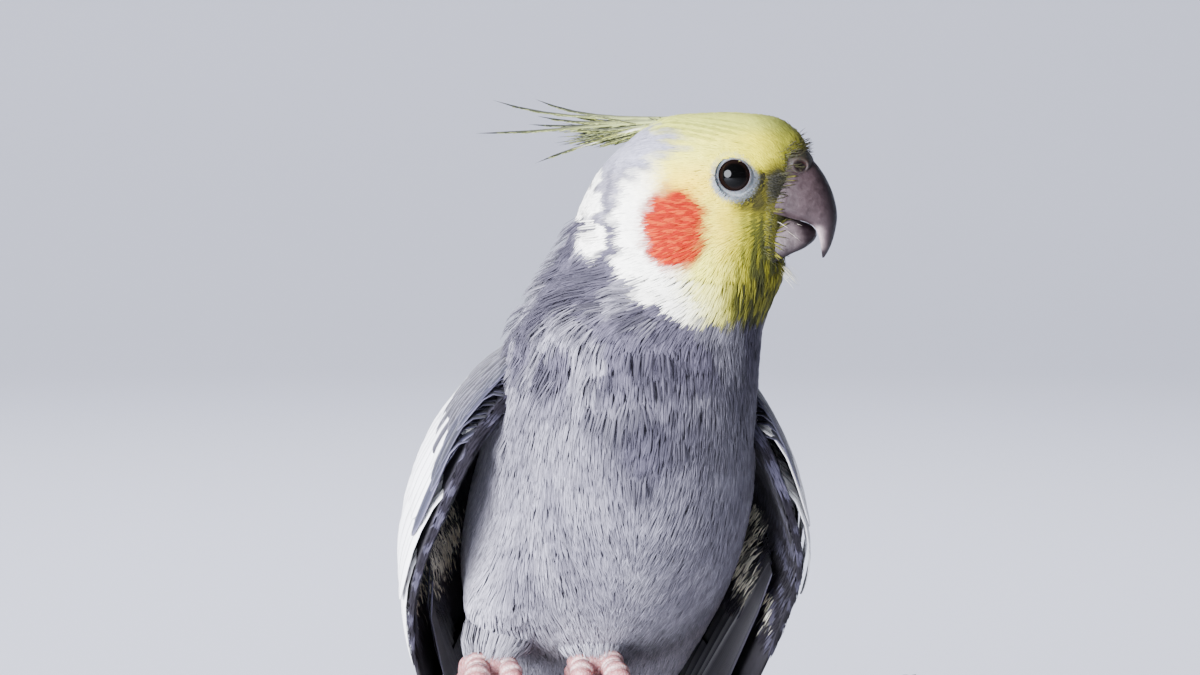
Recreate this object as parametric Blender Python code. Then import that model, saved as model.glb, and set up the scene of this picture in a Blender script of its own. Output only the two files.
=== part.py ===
"""A life-size cockatiel on a branch perch, held by a plain display stand.

The bird looks over its left shoulder with its crest laid back and its wings a little
dropped. Sizes are in millimetres in the bird's own frame and are turned to metres at
the end: +X is the bird's left, -Y its front, +Z up, and zero is on the perch's top
between the two feet. The stand is in the same frame.
"""

import math
import random

import bmesh
import bpy
from mathutils import Matrix, Vector
from mathutils.bvhtree import BVHTree

# Driving sizes, in millimetres
MM = 0.001
GAP = 0.3  # what touching pieces keep between them
CROWN_HEIGHT = 94.8  # top of the head above the perch
BODY_MID_X = 12.0  # the body leans to its left over the feet
FOOT_SPACING = 17.2
PERCH_RADIUS = 8.0
PERCH_LENGTH = 112.0
PERCH_Y = -4.0
TAIL_LENGTH = 165.0
TAIL_CLEARANCE = 7.0  # from the longest tail feather down to the base
BASE_SIZE = (132.0, 186.0, 12.0)
ROD_RADIUS = 2.5
ROD_SPACING = 84.0
EYE_RADIUS = 3.5
EYE_OPENING = 2.45  # radius of the opening between the lids
RING_POINTS = 28  # round the body
HEAD_TURN = 72.0  # degrees to the bird's left
HEAD_CENTRE = Vector((24.3, -18.0, 81.6))

TAIL_ROOT = Vector((BODY_MID_X, 40.0, -6.0))
TAIL_SLOPE = 32.0  # degrees from straight down
TAIL_TIP_DROP = TAIL_LENGTH * math.cos(math.radians(TAIL_SLOPE)) - TAIL_ROOT.z
PERCH_HEIGHT = BASE_SIZE[2] + TAIL_CLEARANCE + TAIL_TIP_DROP
BASE_CENTRE = Vector((8.0, 42.0, -PERCH_HEIGHT))

UP = Vector((0, 0, 1))
TURN = math.radians(HEAD_TURN)
HEAD_FORWARD = Vector((math.sin(TURN), -math.cos(TURN), 0))
HEAD_LEFT = UP.cross(HEAD_FORWARD)


# Colours of the finishes, as linear values
FINISHES = {
    "grey_feather": ((0.21, 0.21, 0.235), 0.85),
    "dark_feather": ((0.09, 0.09, 0.105), 0.8),
    "head_feather": ((0.78, 0.76, 0.30), 0.85),
    "bill": ((0.20, 0.17, 0.17), 0.4),
    "cere": ((0.17, 0.12, 0.11), 0.6),
    "eye": ((0.008, 0.006, 0.006), 0.08),
    "foot_skin": ((0.50, 0.28, 0.27), 0.6),
    "claw": ((0.09, 0.075, 0.07), 0.4),
    "branch": ((0.28, 0.19, 0.12), 0.85),
    "stand_wood": ((0.07, 0.045, 0.03), 0.45),
    "stand_metal": ((0.45, 0.42, 0.36), 0.35),
}


def finish(name):
    found = bpy.data.materials.get(name)
    if found:
        return found
    colour, roughness = FINISHES[name]
    material = bpy.data.materials.new(name)
    material.use_nodes = True
    shader = material.node_tree.nodes["Principled BSDF"]
    shader.inputs["Base Color"].default_value = (*colour, 1)
    shader.inputs["Roughness"].default_value = roughness
    shader.inputs["Metallic"].default_value = 1.0 if name == "stand_metal" else 0.0
    return material


# Meshes from rings, and the Booleans that join and part them
def smooth_path(points, steps):
    """Points on a Catmull-Rom curve through tuples of numbers, steps to each span."""
    found = []
    last = len(points) - 1
    for i in range(last):
        p0, p1 = points[max(i - 1, 0)], points[i]
        p2, p3 = points[i + 1], points[min(i + 2, last)]
        for step in range(steps):
            t = step / steps
            found.append(tuple(spline(a, b, c, d, t) for a, b, c, d in zip(p0, p1, p2, p3)))
    return found + [tuple(points[-1])]


def spline(a, b, c, d, t):
    return 0.5 * (
        2 * b + (c - a) * t + (2 * a - 5 * b + 4 * c - d) * t * t + (3 * b - a - 3 * c + d) * t**3
    )


def along(points, t):
    """The point at t, from 0 to 1, on the curve through a list of vectors."""
    last = len(points) - 1
    span = min(int(t * last), last - 1)
    u = t * last - span
    p0, p1 = points[max(span - 1, 0)], points[span]
    p2, p3 = points[span + 1], points[min(span + 2, last)]
    return Vector(spline(a, b, c, d, u) for a, b, c, d in zip(p0, p1, p2, p3))


def new_object(name, corners, faces, material=None, grow=0.0):
    """A closed mesh with its faces pointing out, grown along its normals where asked."""
    mesh = bpy.data.meshes.new(name)
    mesh.from_pydata([tuple(Vector(c) * MM) for c in corners], [], faces)
    shape = bmesh.new()
    shape.from_mesh(mesh)
    bmesh.ops.triangulate(shape, faces=shape.faces)
    if shape.calc_volume(signed=True) < 0:
        bmesh.ops.reverse_faces(shape, faces=shape.faces)
    shape.normal_update()
    if grow:
        moves = [v.normal * grow * MM for v in shape.verts]
        for v, move in zip(shape.verts, moves):
            v.co += move
    shape.to_mesh(mesh)
    shape.free()
    obj = bpy.data.objects.new(name, mesh)
    bpy.context.scene.collection.objects.link(obj)
    if material:
        mesh.materials.append(finish(material))
    return obj


def ring_mesh(rings, start=None, end=None):
    """Corners and faces of a tube of rings, closed at both ends by a point each."""
    count = len(rings[0])
    corners = [p for ring in rings for p in ring]
    faces = []
    for i in range(len(rings) - 1):
        a, b = i * count, (i + 1) * count
        for j in range(count):
            k = (j + 1) % count
            faces.append((a + j, a + k, b + k, b + j))
    for ring, pole, flip in ((0, start, False), (len(rings) - 1, end, True)):
        if pole is None:
            pole = sum((Vector(p) for p in rings[ring]), Vector()) / count
        corners.append(pole)
        for j in range(count):
            a, b = ring * count + j, ring * count + (j + 1) % count
            faces.append((a, b, len(corners) - 1) if flip else (b, a, len(corners) - 1))
    return corners, faces


def boolean(obj, others, operation, solver="EXACT"):
    """Applies one Boolean with a collection of closed meshes, which it then removes."""
    group = bpy.data.collections.new("operands")
    bpy.context.scene.collection.children.link(group)
    for other in others:
        for home in list(other.users_collection):
            home.objects.unlink(other)
        group.objects.link(other)
    modifier = obj.modifiers.new("boolean", "BOOLEAN")
    modifier.operation = operation
    modifier.operand_type = "COLLECTION"
    modifier.collection = group
    modifier.solver = solver
    bpy.context.view_layer.update()
    graph = bpy.context.evaluated_depsgraph_get()
    made = bpy.data.meshes.new_from_object(obj.evaluated_get(graph))
    obj.modifiers.clear()
    obj.data = made
    for other in list(group.objects):
        bpy.data.objects.remove(other)
    bpy.data.collections.remove(group)
    return keep_largest(obj)


def keep_largest(obj):
    """Leaves a node only its largest closed surface."""
    shape = bmesh.new()
    shape.from_mesh(obj.data)
    bmesh.ops.triangulate(shape, faces=shape.faces)
    bmesh.ops.remove_doubles(shape, verts=shape.verts, dist=0.002 * MM)
    bmesh.ops.dissolve_degenerate(shape, edges=shape.edges, dist=0.002 * MM)
    bmesh.ops.dissolve_limit(shape, angle_limit=math.radians(0.3), verts=shape.verts, edges=shape.edges)
    bmesh.ops.triangulate(shape, faces=shape.faces)
    seen = set()
    groups = []
    for vertex in shape.verts:
        if vertex in seen:
            continue
        group, waiting = set(), [vertex]
        while waiting:
            v = waiting.pop()
            if v in group:
                continue
            group.add(v)
            waiting.extend(e.other_vert(v) for e in v.link_edges)
        seen |= group
        groups.append(group)
    groups.sort(key=len)
    spare = [v for group in groups[:-1] for v in group]
    bmesh.ops.delete(shape, geom=spare, context="VERTS")
    shape.to_mesh(obj.data)
    shape.free()
    return obj


def part_between(obj, low=None, high=None):
    """Cuts away what lies below the plane low and above the plane high."""
    shape = bmesh.new()
    shape.from_mesh(obj.data)
    for plane, outside in ((low, -1), (high, 1)):
        if plane is None:
            continue
        point, normal = plane
        geometry = list(shape.verts) + list(shape.edges) + list(shape.faces)
        cut = bmesh.ops.bisect_plane(
            shape,
            geom=geometry,
            plane_co=Vector(point) * MM,
            plane_no=Vector(normal) * outside,
            clear_outer=True,
        )
        rim = [e for e in cut["geom_cut"] if isinstance(e, bmesh.types.BMEdge)]
        bmesh.ops.holes_fill(shape, edges=rim)
        bmesh.ops.triangulate(shape, faces=shape.faces)
    shape.to_mesh(obj.data)
    shape.free()
    return obj


def ellipsoid(name, centre, radii, axes=None, rings=8, sides=12, material=None, grow=0.0):
    """An ellipsoid with its three radii along three unit axes."""
    one, two, three = axes or (Vector((1, 0, 0)), Vector((0, 1, 0)), UP)
    a, b, c = (r + grow for r in radii)
    made = []
    for i in range(1, rings):
        angle = math.pi * i / rings
        ring = []
        for j in range(sides):
            turn = 2 * math.pi * j / sides
            out = math.sin(angle)
            place = one * (a * out * math.cos(turn)) + two * (b * out * math.sin(turn))
            ring.append(centre + place + three * (c * math.cos(angle)))
        made.append(ring)
    corners, faces = ring_mesh(made, centre + three * c, centre - three * c)
    return new_object(name, corners, faces, material)


def tube(name, points, radii, sides=8, material=None, flat=1.0, side_axis=None, grow=0.0):
    """A closed tube of varying radius along a path, wider one way where flat is not 1."""
    rings = []
    for i, point in enumerate(points):
        before, after = points[max(i - 1, 0)], points[min(i + 1, len(points) - 1)]
        tangent = (after - before).normalized()
        side = (side_axis or Vector((1, 0, 0))).copy()
        side = (side - tangent * side.dot(tangent)).normalized()
        other = tangent.cross(side)
        radius = radii[i] + grow
        ring = []
        for j in range(sides):
            turn = 2 * math.pi * (j + 0.5) / sides
            across = side * math.cos(turn) * radius * flat
            ring.append(point + across + other * math.sin(turn) * radius)
        rings.append(ring)
    first = (points[1] - points[0]).normalized()
    last = (points[-1] - points[-2]).normalized()
    start = points[0] - first * (radii[0] + grow) * 0.6
    end = points[-1] + last * (radii[-1] + grow) * 0.6
    corners, faces = ring_mesh(rings, start, end)
    return new_object(name, corners, faces, material)


# The body's surface: one loft from the tail coverts to the crown. Each row is a slice:
# centre x, y, z, half-width, reach to the front and to the back, and the slice's tilt.
TAIL_COVERTS = [
    (12.0, 70.0, -53.0, 4.6, 2.6, 2.6, 32),
    (12.0, 58.0, -34.0, 8.2, 6.0, 5.6, 33),
]
TORSO = [
    (12.0, 50.0, -20.0, 11.5, 9.5, 8.0, 35),
    (12.0, 43.5, -10.0, 15.2, 12.0, 11.0, 38),
    (12.0, 36.0, -1.0, 18.6, 15.0, 14.0, 39),
    (12.0, 27.0, 8.0, 21.6, 17.5, 18.0, 38),
    (12.0, 17.5, 17.0, 23.4, 21.8, 21.0, 35),
    (12.5, 8.5, 26.5, 23.7, 27.0, 24.0, 30),
    (13.0, 0.0, 36.0, 23.0, 30.0, 25.0, 23),
    (13.2, -6.0, 45.5, 22.0, 29.5, 23.5, 15),
    (14.0, -10.0, 54.0, 20.9, 26.5, 20.5, 7),
    (14.9, -14.0, 60.5, 20.3, 21.5, 20.5, 0),
]
# The head's slices, in its own frame: height, reach to the nape, reach to the bill,
# half-width, and how much the slice narrows towards the bill.
HEAD = [
    (-14.0, -25.8, 13.4, 15.6, 0.12),
    (-10.0, -23.2, 13.6, 14.8, 0.18),
    (-6.0, -21.2, 13.6, 14.2, 0.22),
    (-2.0, -19.6, 14.6, 13.7, 0.24),
    (2.0, -17.6, 16.2, 13.1, 0.25),
    (5.5, -15.0, 17.2, 12.2, 0.24),
    (8.6, -11.5, 16.9, 10.6, 0.20),
    (11.0, -8.5, 14.8, 8.2, 0.12),
    (12.6, -4.5, 11.6, 5.0, 0.05),
]
HEAD_WIDEST = -3.0  # the slices are widest this far behind the head's centre


def torso_slice(x, y, z, half_width, front, back, tilt):
    """A slice of the torso, its lower side tipped forward by tilt degrees."""
    lean = math.radians(tilt)
    ventral = Vector((0, -math.cos(lean), -math.sin(lean)))
    ring = []
    for j in range(RING_POINTS):
        turn = 2 * math.pi * j / RING_POINTS
        reach = front if math.cos(turn) > 0 else back
        place = ventral * math.cos(turn) * reach
        place.x = math.sin(turn) * half_width
        ring.append(Vector((x, y, z)) + place)
    return ring


def head_point(forward, left, up):
    """A place in the head's own frame, as a place in the bird's frame."""
    return HEAD_CENTRE + HEAD_FORWARD * forward + HEAD_LEFT * left + UP * up


def head_slice(height, nape, face, half_width, taper):
    ring = []
    for j in range(RING_POINTS):
        turn = 2 * math.pi * j / RING_POINTS - TURN
        ahead = math.cos(turn)
        reach = face - HEAD_WIDEST if ahead > 0 else HEAD_WIDEST - nape
        across = math.sin(turn) * half_width * (1 - taper * ahead)
        ring.append(head_point(HEAD_WIDEST + ahead * reach, across, height))
    return ring


def smooth_rings(rings, steps):
    """More rings between the given ones, each point on its own smooth curve."""
    columns = [smooth_path([ring[j] for ring in rings], steps) for j in range(RING_POINTS)]
    return [[Vector(c[i]) for c in columns] for i in range(len(columns[0]))]


def body_rings():
    body = [torso_slice(*row) for row in TAIL_COVERTS + TORSO]
    head = [head_slice(*row) for row in HEAD]
    joined = smooth_rings(body + head, 2)
    neck_start = 2 * (len(body) - 1)
    lower = joined[:neck_start]
    upper = joined[neck_start:]
    return lower + upper


def whole_body(name, material=None, grow=0.0):
    tail_end = Vector((BODY_MID_X, 73.0, -58.0))
    crown = head_point(4.5, 0, CROWN_HEIGHT - HEAD_CENTRE.z)
    corners, faces = ring_mesh(body_rings(), tail_end, crown)
    return new_object(name, corners, faces, material, grow)


def body_tree():
    """A ray-casting tree of the body's surface, in millimetres."""
    corners, faces = ring_mesh(body_rings(), None, head_point(4.5, 0, 13.2))
    return BVHTree.FromPolygons([Vector(c) for c in corners], faces)


# Where the body is parted: a point on each plane and its normal, towards the head
HEAD_CUT = (head_point(0, 0, -15.5), Vector((-0.10, 0.05, 1.0)).normalized())
NECK_CUT = (Vector((14.0, -10.0, 55.5)), Vector((0, -0.12, 1.0)).normalized())
TAIL_CUT = (Vector((BODY_MID_X, 46.0, -14.0)), Vector((0, -0.60, 0.80)).normalized())


def shifted(plane, distance):
    point, normal = plane
    return point + normal * distance, normal


# Feathers that are built one by one
def vane(points, sides, half_widths, thickness, name="vane"):
    """A feather's vane: a thin tapering plate along points, as wide as half_widths each side."""
    rings = []
    last = len(points) - 1
    for i, point in enumerate(points):
        tangent = (points[min(i + 1, last)] - points[max(i - 1, 0)]).normalized()
        side = (sides[i] - tangent * sides[i].dot(tangent)).normalized()
        normal = tangent.cross(side)
        deep = normal * (thickness[i] / 2)
        wide = side * half_widths[i]
        rings.append([point + wide + deep, point - wide + deep, point - wide - deep, point + wide - deep])
    corners = [p for ring in rings for p in ring]
    faces = [(0, 1, 2), (0, 2, 3)]
    for i in range(last):
        a, b = i * 4, i * 4 + 4
        faces += [(a, b, b + 1), (a, b + 1, a + 1)]
        faces += [(a + 3, b + 2, b + 3), (a + 3, a + 2, b + 2)]
        faces += [(a + 1, b + 1, b + 2), (a + 1, b + 2, a + 2)]
        faces += [(a, b + 3, b), (a, a + 3, b + 3)]
    e = last * 4
    faces += [(e, e + 2, e + 1), (e, e + 3, e + 2)]
    return new_object(name, corners, faces)


def outline(stations, root=0.55, tip=0.25, pointed=1.0):
    """Half-widths from root to tip as shares of the widest: full in the middle, round-tipped."""
    found = []
    for i in range(stations):
        t = i / (stations - 1)
        body = root + (1 - root) * math.sin(min(t / 0.45, 1.0) * math.pi / 2)
        end = max(0.0, (t - 0.6) / 0.4)
        found.append(max(tip, body * (1 - end ** (2.2 / pointed) * (1 - tip))))
    return found


CREST_TIPS = [
    (-33.4, 8.6, -0.6), (-30.8, 13.6, 0.5), (-23.7, 14.0, -0.3), (-23.1, 5.8, -1.2),
    (-27.5, 10.6, 1.2), (-20.5, 12.4, 1.6), (-19.0, 8.2, -2.0), (-25.5, 12.0, -1.5),
    (-17.0, 10.6, 2.2), (-16.0, 9.4, 0.4), (-21.5, 9.6, 0.9),
]
CREST_STATIONS = 6


def crest():
    """Long narrow feathers that grow on the crown and lie back, each tip curling up."""
    chance = random.Random(4)
    made = []
    for number, (tip_f, tip_k, tip_l) in enumerate(CREST_TIPS):
        share = number / (len(CREST_TIPS) - 1)
        root = Vector((6.5 - 7.5 * share, (number % 3 - 1) * 1.5, 10.7 + 0.3 * share))
        lift = Vector((-1.5 - 4.5 * share, (number % 3 - 1) * 1.6, 13.5 - 0.5 * share))
        lie = Vector((0.62 * tip_f, 0.8 * tip_l, 0.45 * 10.5 + 0.55 * tip_k - 2.6))
        tip = Vector((tip_f, tip_l, tip_k))
        points, sides = [], []
        roll = math.radians(chance.uniform(20, 60)) * (1 if number % 2 else -1)
        for i in range(CREST_STATIONS):
            t = i / (CREST_STATIONS - 1)
            u = 1 - t
            place = root * u**3 + lift * 3 * u * u * t + lie * 3 * u * t * t + tip * t**3
            points.append(head_point(place.x, place.y, place.z))
            sides.append(HEAD_LEFT * math.cos(roll) + UP * math.sin(roll))
        widths = [0.75, 1.0, 0.95, 0.75, 0.5, 0.25]
        thick = [0.7, 0.65, 0.6, 0.55, 0.5, 0.4]
        made.append(vane(points, sides, widths, thick))
    return made


# The wing's sheet: the leading edge and the back edge of the folded wing, from the
# shoulder to the tip, as distance out from the body's mid-plane, y and z.
LEADING = [
    (16.5, -12.5, 52.0), (23.2, -17.2, 43.0), (28.8, -15.5, 30.0), (32.0, -8.0, 18.5),
    (31.0, 3.0, 7.0), (27.0, 15.0, -8.0), (19.0, 33.0, -32.0), (11.5, 54.0, -58.0),
    (7.0, 72.0, -83.0),
]
BACK = [
    (14.5, 2.0, 55.0), (15.2, 12.4, 51.8), (14.2, 21.6, 46.2), (12.0, 30.4, 39.0),
    (9.8, 39.0, 27.8), (7.8, 47.6, 12.8), (6.2, 56.4, -7.5), (5.6, 66.0, -38.0),
    (5.2, 80.0, -78.0),
]
WING_BULGE = [0.8, 2.6, 5.8, 7.4, 6.8, 5.0, 2.8, 1.4, 0.5]
RIGHT_SPREAD = [0.5, 2.4, 2.6, 2.6, 3.6, 3.6, 2.4, 1.0, 0.3]  # the right wing is held out further
FEATHER_ROLL = math.radians(13)
VANE_THICKNESS = 0.52
CORE_DEPTH = 0.9  # how far the arm's surface lies under the feathers
PRIMARY_LAYER = 0.56  # the primaries lie one under the other like a closed fan


class Wing:
    """The curved sheet that a folded wing's feathers lie along. side is -1 for the right."""

    def __init__(self, side):
        self.side = side
        held_out = [Vector((d if side < 0 else 0.0, 0, 0)) for d in RIGHT_SPREAD]
        self.lead = [Vector(p) + d for p, d in zip(LEADING, held_out)]
        self.back = [Vector(p) + d * 0.5 for p, d in zip(BACK, held_out)]
        self.bulge = [Vector((b, 0, 0)) for b in WING_BULGE]

    def local(self, s, q):
        """A point of the sheet before it is mirrored; s runs to the tip, q to the back."""
        lead, back = along(self.lead, s), along(self.back, s)
        ahead, behind = max(s - 0.02, 0.0), min(s + 0.02, 1.0)
        flow = along(self.lead, behind) - along(self.lead, ahead)
        out = flow.cross(back - lead).normalized()
        if out.x < 0:
            out = -out
        arch = math.sin(math.pi * min(max(q, 0.0), 1.0))
        return lead.lerp(back, q) + out * (along(self.bulge, s).x * arch)

    def frame(self, s, q):
        """Point, direction to the tip, direction to the back and outward normal."""
        step = 0.02
        ahead, behind = max(s - step, 0.0), min(s + step, 1.0)
        here = self.local(s, q)
        flow = (self.local(behind, q) - self.local(ahead, q)).normalized()
        across = (self.local(s, q + step) - self.local(s, q - step)).normalized()
        normal = flow.cross(across).normalized()
        if normal.x < 0:
            normal = -normal
        return self.mirrored(here) + Vector((BODY_MID_X, 0, 0)), *map(self.mirrored, (flow, across, normal))

    def mirrored(self, v):
        return Vector((v.x * self.side, v.y, v.z))

    def feather(self, root, tip, half_width, heights, pointed, roll, stations):
        """One vane from root to tip, both (s, q); its narrow root dips into the wing."""
        points, sides = [], []
        for i in range(stations):
            t = i / (stations - 1)
            s = root[0] + (tip[0] - root[0]) * t
            q = root[1] + (tip[1] - root[1]) * t
            place, flow, across, normal = self.frame(s, q)
            points.append(place + normal * (heights[1] if i else heights[0]))
            sides.append(across * math.cos(roll) + normal * math.sin(roll))
        widths = [half_width * w for w in outline(stations, 0.35, pointed=pointed)]
        return vane(points, sides, widths, [VANE_THICKNESS] * stations)

    def core(self, name, material):
        """The arm and hand under the feathers: a slab that thins towards the tip."""
        rows, columns = 11, 6
        outer, inner = [], []
        for i in range(rows):
            s = 0.015 + 0.60 * i / (rows - 1)
            for j in range(columns):
                q = 0.03 + 0.94 * j / (columns - 1)
                place, _, _, normal = self.frame(s, q)
                edge = math.sin(math.pi * (0.12 + 0.76 * j / (columns - 1)))
                deep = (1.0 + 5.2 * (1 - i / (rows - 1)) ** 1.3) * edge
                outer.append(place - normal * CORE_DEPTH)
                inner.append(place - normal * (CORE_DEPTH + max(deep, 0.9)))
        corners = outer + inner
        half = rows * columns
        faces = []
        for i in range(rows - 1):
            for j in range(columns - 1):
                a = i * columns + j
                b = a + columns
                faces.append((a, a + 1, b + 1, b))
                faces.append((half + a, half + b, half + b + 1, half + a + 1))
        rim = [(0, j) for j in range(columns)] + [(i, columns - 1) for i in range(1, rows)]
        rim += [(rows - 1, j) for j in range(columns - 2, -1, -1)]
        rim += [(i, 0) for i in range(rows - 2, 0, -1)]
        for (i, j), (k, m) in zip(rim, rim[1:] + rim[:1]):
            a, b = i * columns + j, k * columns + m
            faces.append((b, a, half + a, half + b))
        return new_object(name, corners, faces, material)


# Tiers of the folded wing, lowest first: how many, the first and last root and tip as
# (s, q), half-width, heights above the sheet at root and past it, and how pointed. The
# upper three tiers share their lines of q, so each feather lies square over the next.
WING_TIERS = {
    "primaries": (6, (0.42, 0.08), (0.42, 0.50), (1.0, 0.28), (0.68, 0.46), 3.8, (-1.5, -1.3), 1.5),
    "secondaries": (7, (0.34, 0.08), (0.31, 0.92), (0.56, 0.08), (0.70, 0.92), 4.7, (-1.5, 0.0), 1.1),
    "greater_coverts": (7, (0.20, 0.08), (0.17, 0.92), (0.43, 0.08), (0.44, 0.92), 4.6, (-1.4, 0.9), 1.0),
    "median_coverts": (7, (0.10, 0.08), (0.05, 0.92), (0.28, 0.08), (0.27, 0.92), 4.5, (-1.4, 1.8), 0.9),
}


def wing(name, side):
    """A folded wing: its core, its feathers in tiers, and the face that meets the body."""
    sheet = Wing(side)
    made = sheet.core(name, "dark_feather")
    feathers = []
    for tier, row in WING_TIERS.items():
        count, root_a, root_b, tip_a, tip_b, half_width, heights, pointed = row
        for i in range(count):
            share = i / (count - 1)
            root = [a + (b - a) * share for a, b in zip(root_a, root_b)]
            tip = [a + (b - a) * share for a, b in zip(tip_a, tip_b)]
            roll, stations = FEATHER_ROLL, 5
            levels = heights
            if tier == "primaries":
                roll, stations = 0.0, 7
                levels = (heights[0], heights[1] - PRIMARY_LAYER * (count - 1 - i))
            feathers.append(sheet.feather(root, tip, half_width, levels, pointed, roll, stations))
    shoulder = Vector((BODY_MID_X + side * 17.5, -3.0, 46.0))
    axes = (Vector((1, 0, 0)), Vector((0, 0.86, 0.5)), Vector((0, -0.5, 0.86)))
    feathers.append(ellipsoid("shoulder", shoulder, (6.6, 13.5, 8.0), axes, 7, 10))
    boolean(made, feathers, "UNION", "MANIFOLD")
    boolean(made, [whole_body("clear", grow=GAP)], "DIFFERENCE", "MANIFOLD")
    made.data.materials.clear()
    made.data.materials.append(finish("dark_feather"))
    return made


# Length as a share of the longest, for each pair of tail feathers from the middle out
TAIL_PAIRS = [1.0, 0.88, 0.77, 0.68, 0.61, 0.55]
TAIL_LAYER = 0.95  # between one feather's middle and the next one's, through the tail


def tail():
    """The tail coverts' end of the body with twelve tail feathers, the middle pair longest."""
    made = part_between(whole_body("tail", "grey_feather"), None, shifted(TAIL_CUT, -GAP / 2))
    slope = math.radians(TAIL_SLOPE)
    down = Vector((0, math.sin(slope), -math.cos(slope)))
    out = Vector((0, math.cos(slope), math.sin(slope)))
    feathers = []
    for pair, share in enumerate(TAIL_PAIRS):
        for side in (-1, 1):
            layer = pair * 2 + (side > 0)
            spread = math.radians(0.4 + 1.05 * pair) * side
            way = (down * math.cos(spread) + Vector((1, 0, 0)) * math.sin(spread)).normalized()
            root = TAIL_ROOT + down * 14 + Vector((side * (0.9 + 0.75 * pair), 0, 0))
            root += out * (2.2 - TAIL_LAYER * 0.5 * layer)
            reach = TAIL_LENGTH * share - 14
            points = [root + way * reach * t for t in (0, 0.2, 0.4, 0.6, 0.8, 0.92, 1.0)]
            roll = math.radians(8) * side
            lateral = Vector((1, 0, 0)) * math.cos(roll) - out * math.sin(roll)
            width = 4.4 if pair else 3.6
            shares = (0.7, 0.95, 1.0, 0.95, 0.75, 0.5, 0.2) if pair else (0.8, 1, 1, 0.9, 0.6, 0.38, 0.18)
            thick = [0.62] * 5 + [0.5, 0.4]
            feathers.append(vane(points, [lateral] * 7, [width * s for s in shares], thick))
    return boolean(made, feathers, "UNION", "MANIFOLD")


# The head, its bill, cere and eyes
UPPER_BILL = [  # ridge (forward, up), lower edge (forward, up), half-width
    ((12.0, 7.6), (9.0, -2.0), 5.0),
    ((15.2, 7.5), (11.2, -2.8), 5.2),
    ((17.5, 6.2), (13.4, -3.6), 5.0),
    ((19.6, 3.6), (15.7, -4.2), 4.4),
    ((21.2, 0.2), (17.3, -4.7), 3.6),
    ((22.0, -3.4), (18.5, -5.9), 2.7),
    ((21.9, -6.6), (19.2, -7.9), 1.8),
    ((21.2, -9.0), (19.6, -9.5), 1.0),
]
UPPER_BILL_TIP = (20.3, -10.6)
LOWER_BILL = [  # upper edge (forward, up), keel (forward, up), half-width
    ((8.5, -4.4), (9.5, -12.0), 4.4),
    ((11.5, -4.4), (12.0, -11.4), 4.5),
    ((14.0, -5.0), (14.2, -10.5), 4.1),
    ((16.0, -5.3), (16.0, -9.1), 3.4),
    ((17.3, -5.9), (17.2, -7.7), 2.3),
]
LOWER_BILL_TIP = (18.0, -6.2)
BILL_SIDES = 12


def bill_half(name, rows, tip, material, fuller, grow=0.0):
    """Half of the bill: oval sections from its ridge or upper edge to its other edge."""
    rings = []
    for high, low, half_width in smooth_bill(rows):
        top, bottom = head_point(high[0], 0, high[1]), head_point(low[0], 0, low[1])
        middle, reach = (top + bottom) / 2, (top - bottom) / 2
        ring = []
        for j in range(BILL_SIDES):
            turn = 2 * math.pi * j / BILL_SIDES
            across = math.sin(turn) * half_width * (1 - fuller * math.cos(turn))
            ring.append(middle + reach * math.cos(turn) + HEAD_LEFT * across)
        rings.append(ring)
    corners, faces = ring_mesh(rings, None, head_point(tip[0], 0, tip[1]))
    return new_object(name, corners, faces, material, grow)


def smooth_bill(rows):
    flat = smooth_path([(*high, *low, width) for high, low, width in rows], 2)
    return [((a, b), (c, d), w) for a, b, c, d, w in flat]


CERE_CENTRE = (15.4, 5.4)
NOSTRIL = (16.3, 2.7, 5.3)


def cere(tree):
    """The low swelling over the bill's root, with its two nostrils."""
    centre = head_point(CERE_CENTRE[0], 0, CERE_CENTRE[1])
    axes = (HEAD_FORWARD, HEAD_LEFT, UP)
    made = ellipsoid("cere", centre, (3.1, 4.7, 3.0), axes, 8, 14, "cere")
    clear = [
        whole_body("clear", grow=GAP),
        bill_half("clear", UPPER_BILL, UPPER_BILL_TIP, None, 0.22, GAP),
    ]
    for side in (-1, 1):
        mouth = head_point(NOSTRIL[0], side * (NOSTRIL[1] + 1.5), NOSTRIL[2])
        floor = head_point(NOSTRIL[0] - 1.0, side * (NOSTRIL[1] - 0.9), NOSTRIL[2])
        points = [mouth.lerp(floor, t) for t in (0, 0.5, 1)]
        clear.append(tube("nostril", points, [0.75, 0.7, 0.6], 8, side_axis=UP))
    return boolean(made, clear, "DIFFERENCE")


EYE_PLACE = (6.8, 3.3)


def eye_frame(tree, side):
    """The eyeball's centre and the direction it looks, from the surface of the head."""
    inside = head_point(EYE_PLACE[0], 0, EYE_PLACE[1])
    way = HEAD_LEFT * side
    hit, normal, _, _ = tree.ray_cast(inside, way)
    if normal.dot(way) < 0:
        normal = -normal
    look = (normal * 0.5 + way).normalized()
    return hit - look * (EYE_RADIUS - 0.55), look


def lids(centre, look):
    """The bare ring round the eye, a little thicker at its rim."""
    side = (HEAD_FORWARD - look * HEAD_FORWARD.dot(look)).normalized()
    upward = look.cross(side)
    if upward.z < 0:
        upward = -upward
    depth = math.sqrt(EYE_RADIUS**2 - EYE_OPENING**2)
    middle = centre + look * (depth - 0.15)
    around, across = 14, 5
    major, minor = EYE_OPENING + 0.85, 0.8
    corners, faces = [], []
    for i in range(around):
        turn = 2 * math.pi * i / around
        out = side * math.cos(turn) * 1.06 + upward * math.sin(turn)
        for j in range(across):
            roll = 2 * math.pi * j / across
            place = out * (major + minor * 1.3 * math.cos(roll)) + look * (minor * math.sin(roll))
            corners.append(middle + place)
    for i in range(around):
        for j in range(across):
            a, b = i * across + j, i * across + (j + 1) % across
            c, d = ((i + 1) % around) * across + (j + 1) % across, ((i + 1) % around) * across + j
            faces.append((a, b, c, d))
    return new_object("lids", corners, faces)


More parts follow.
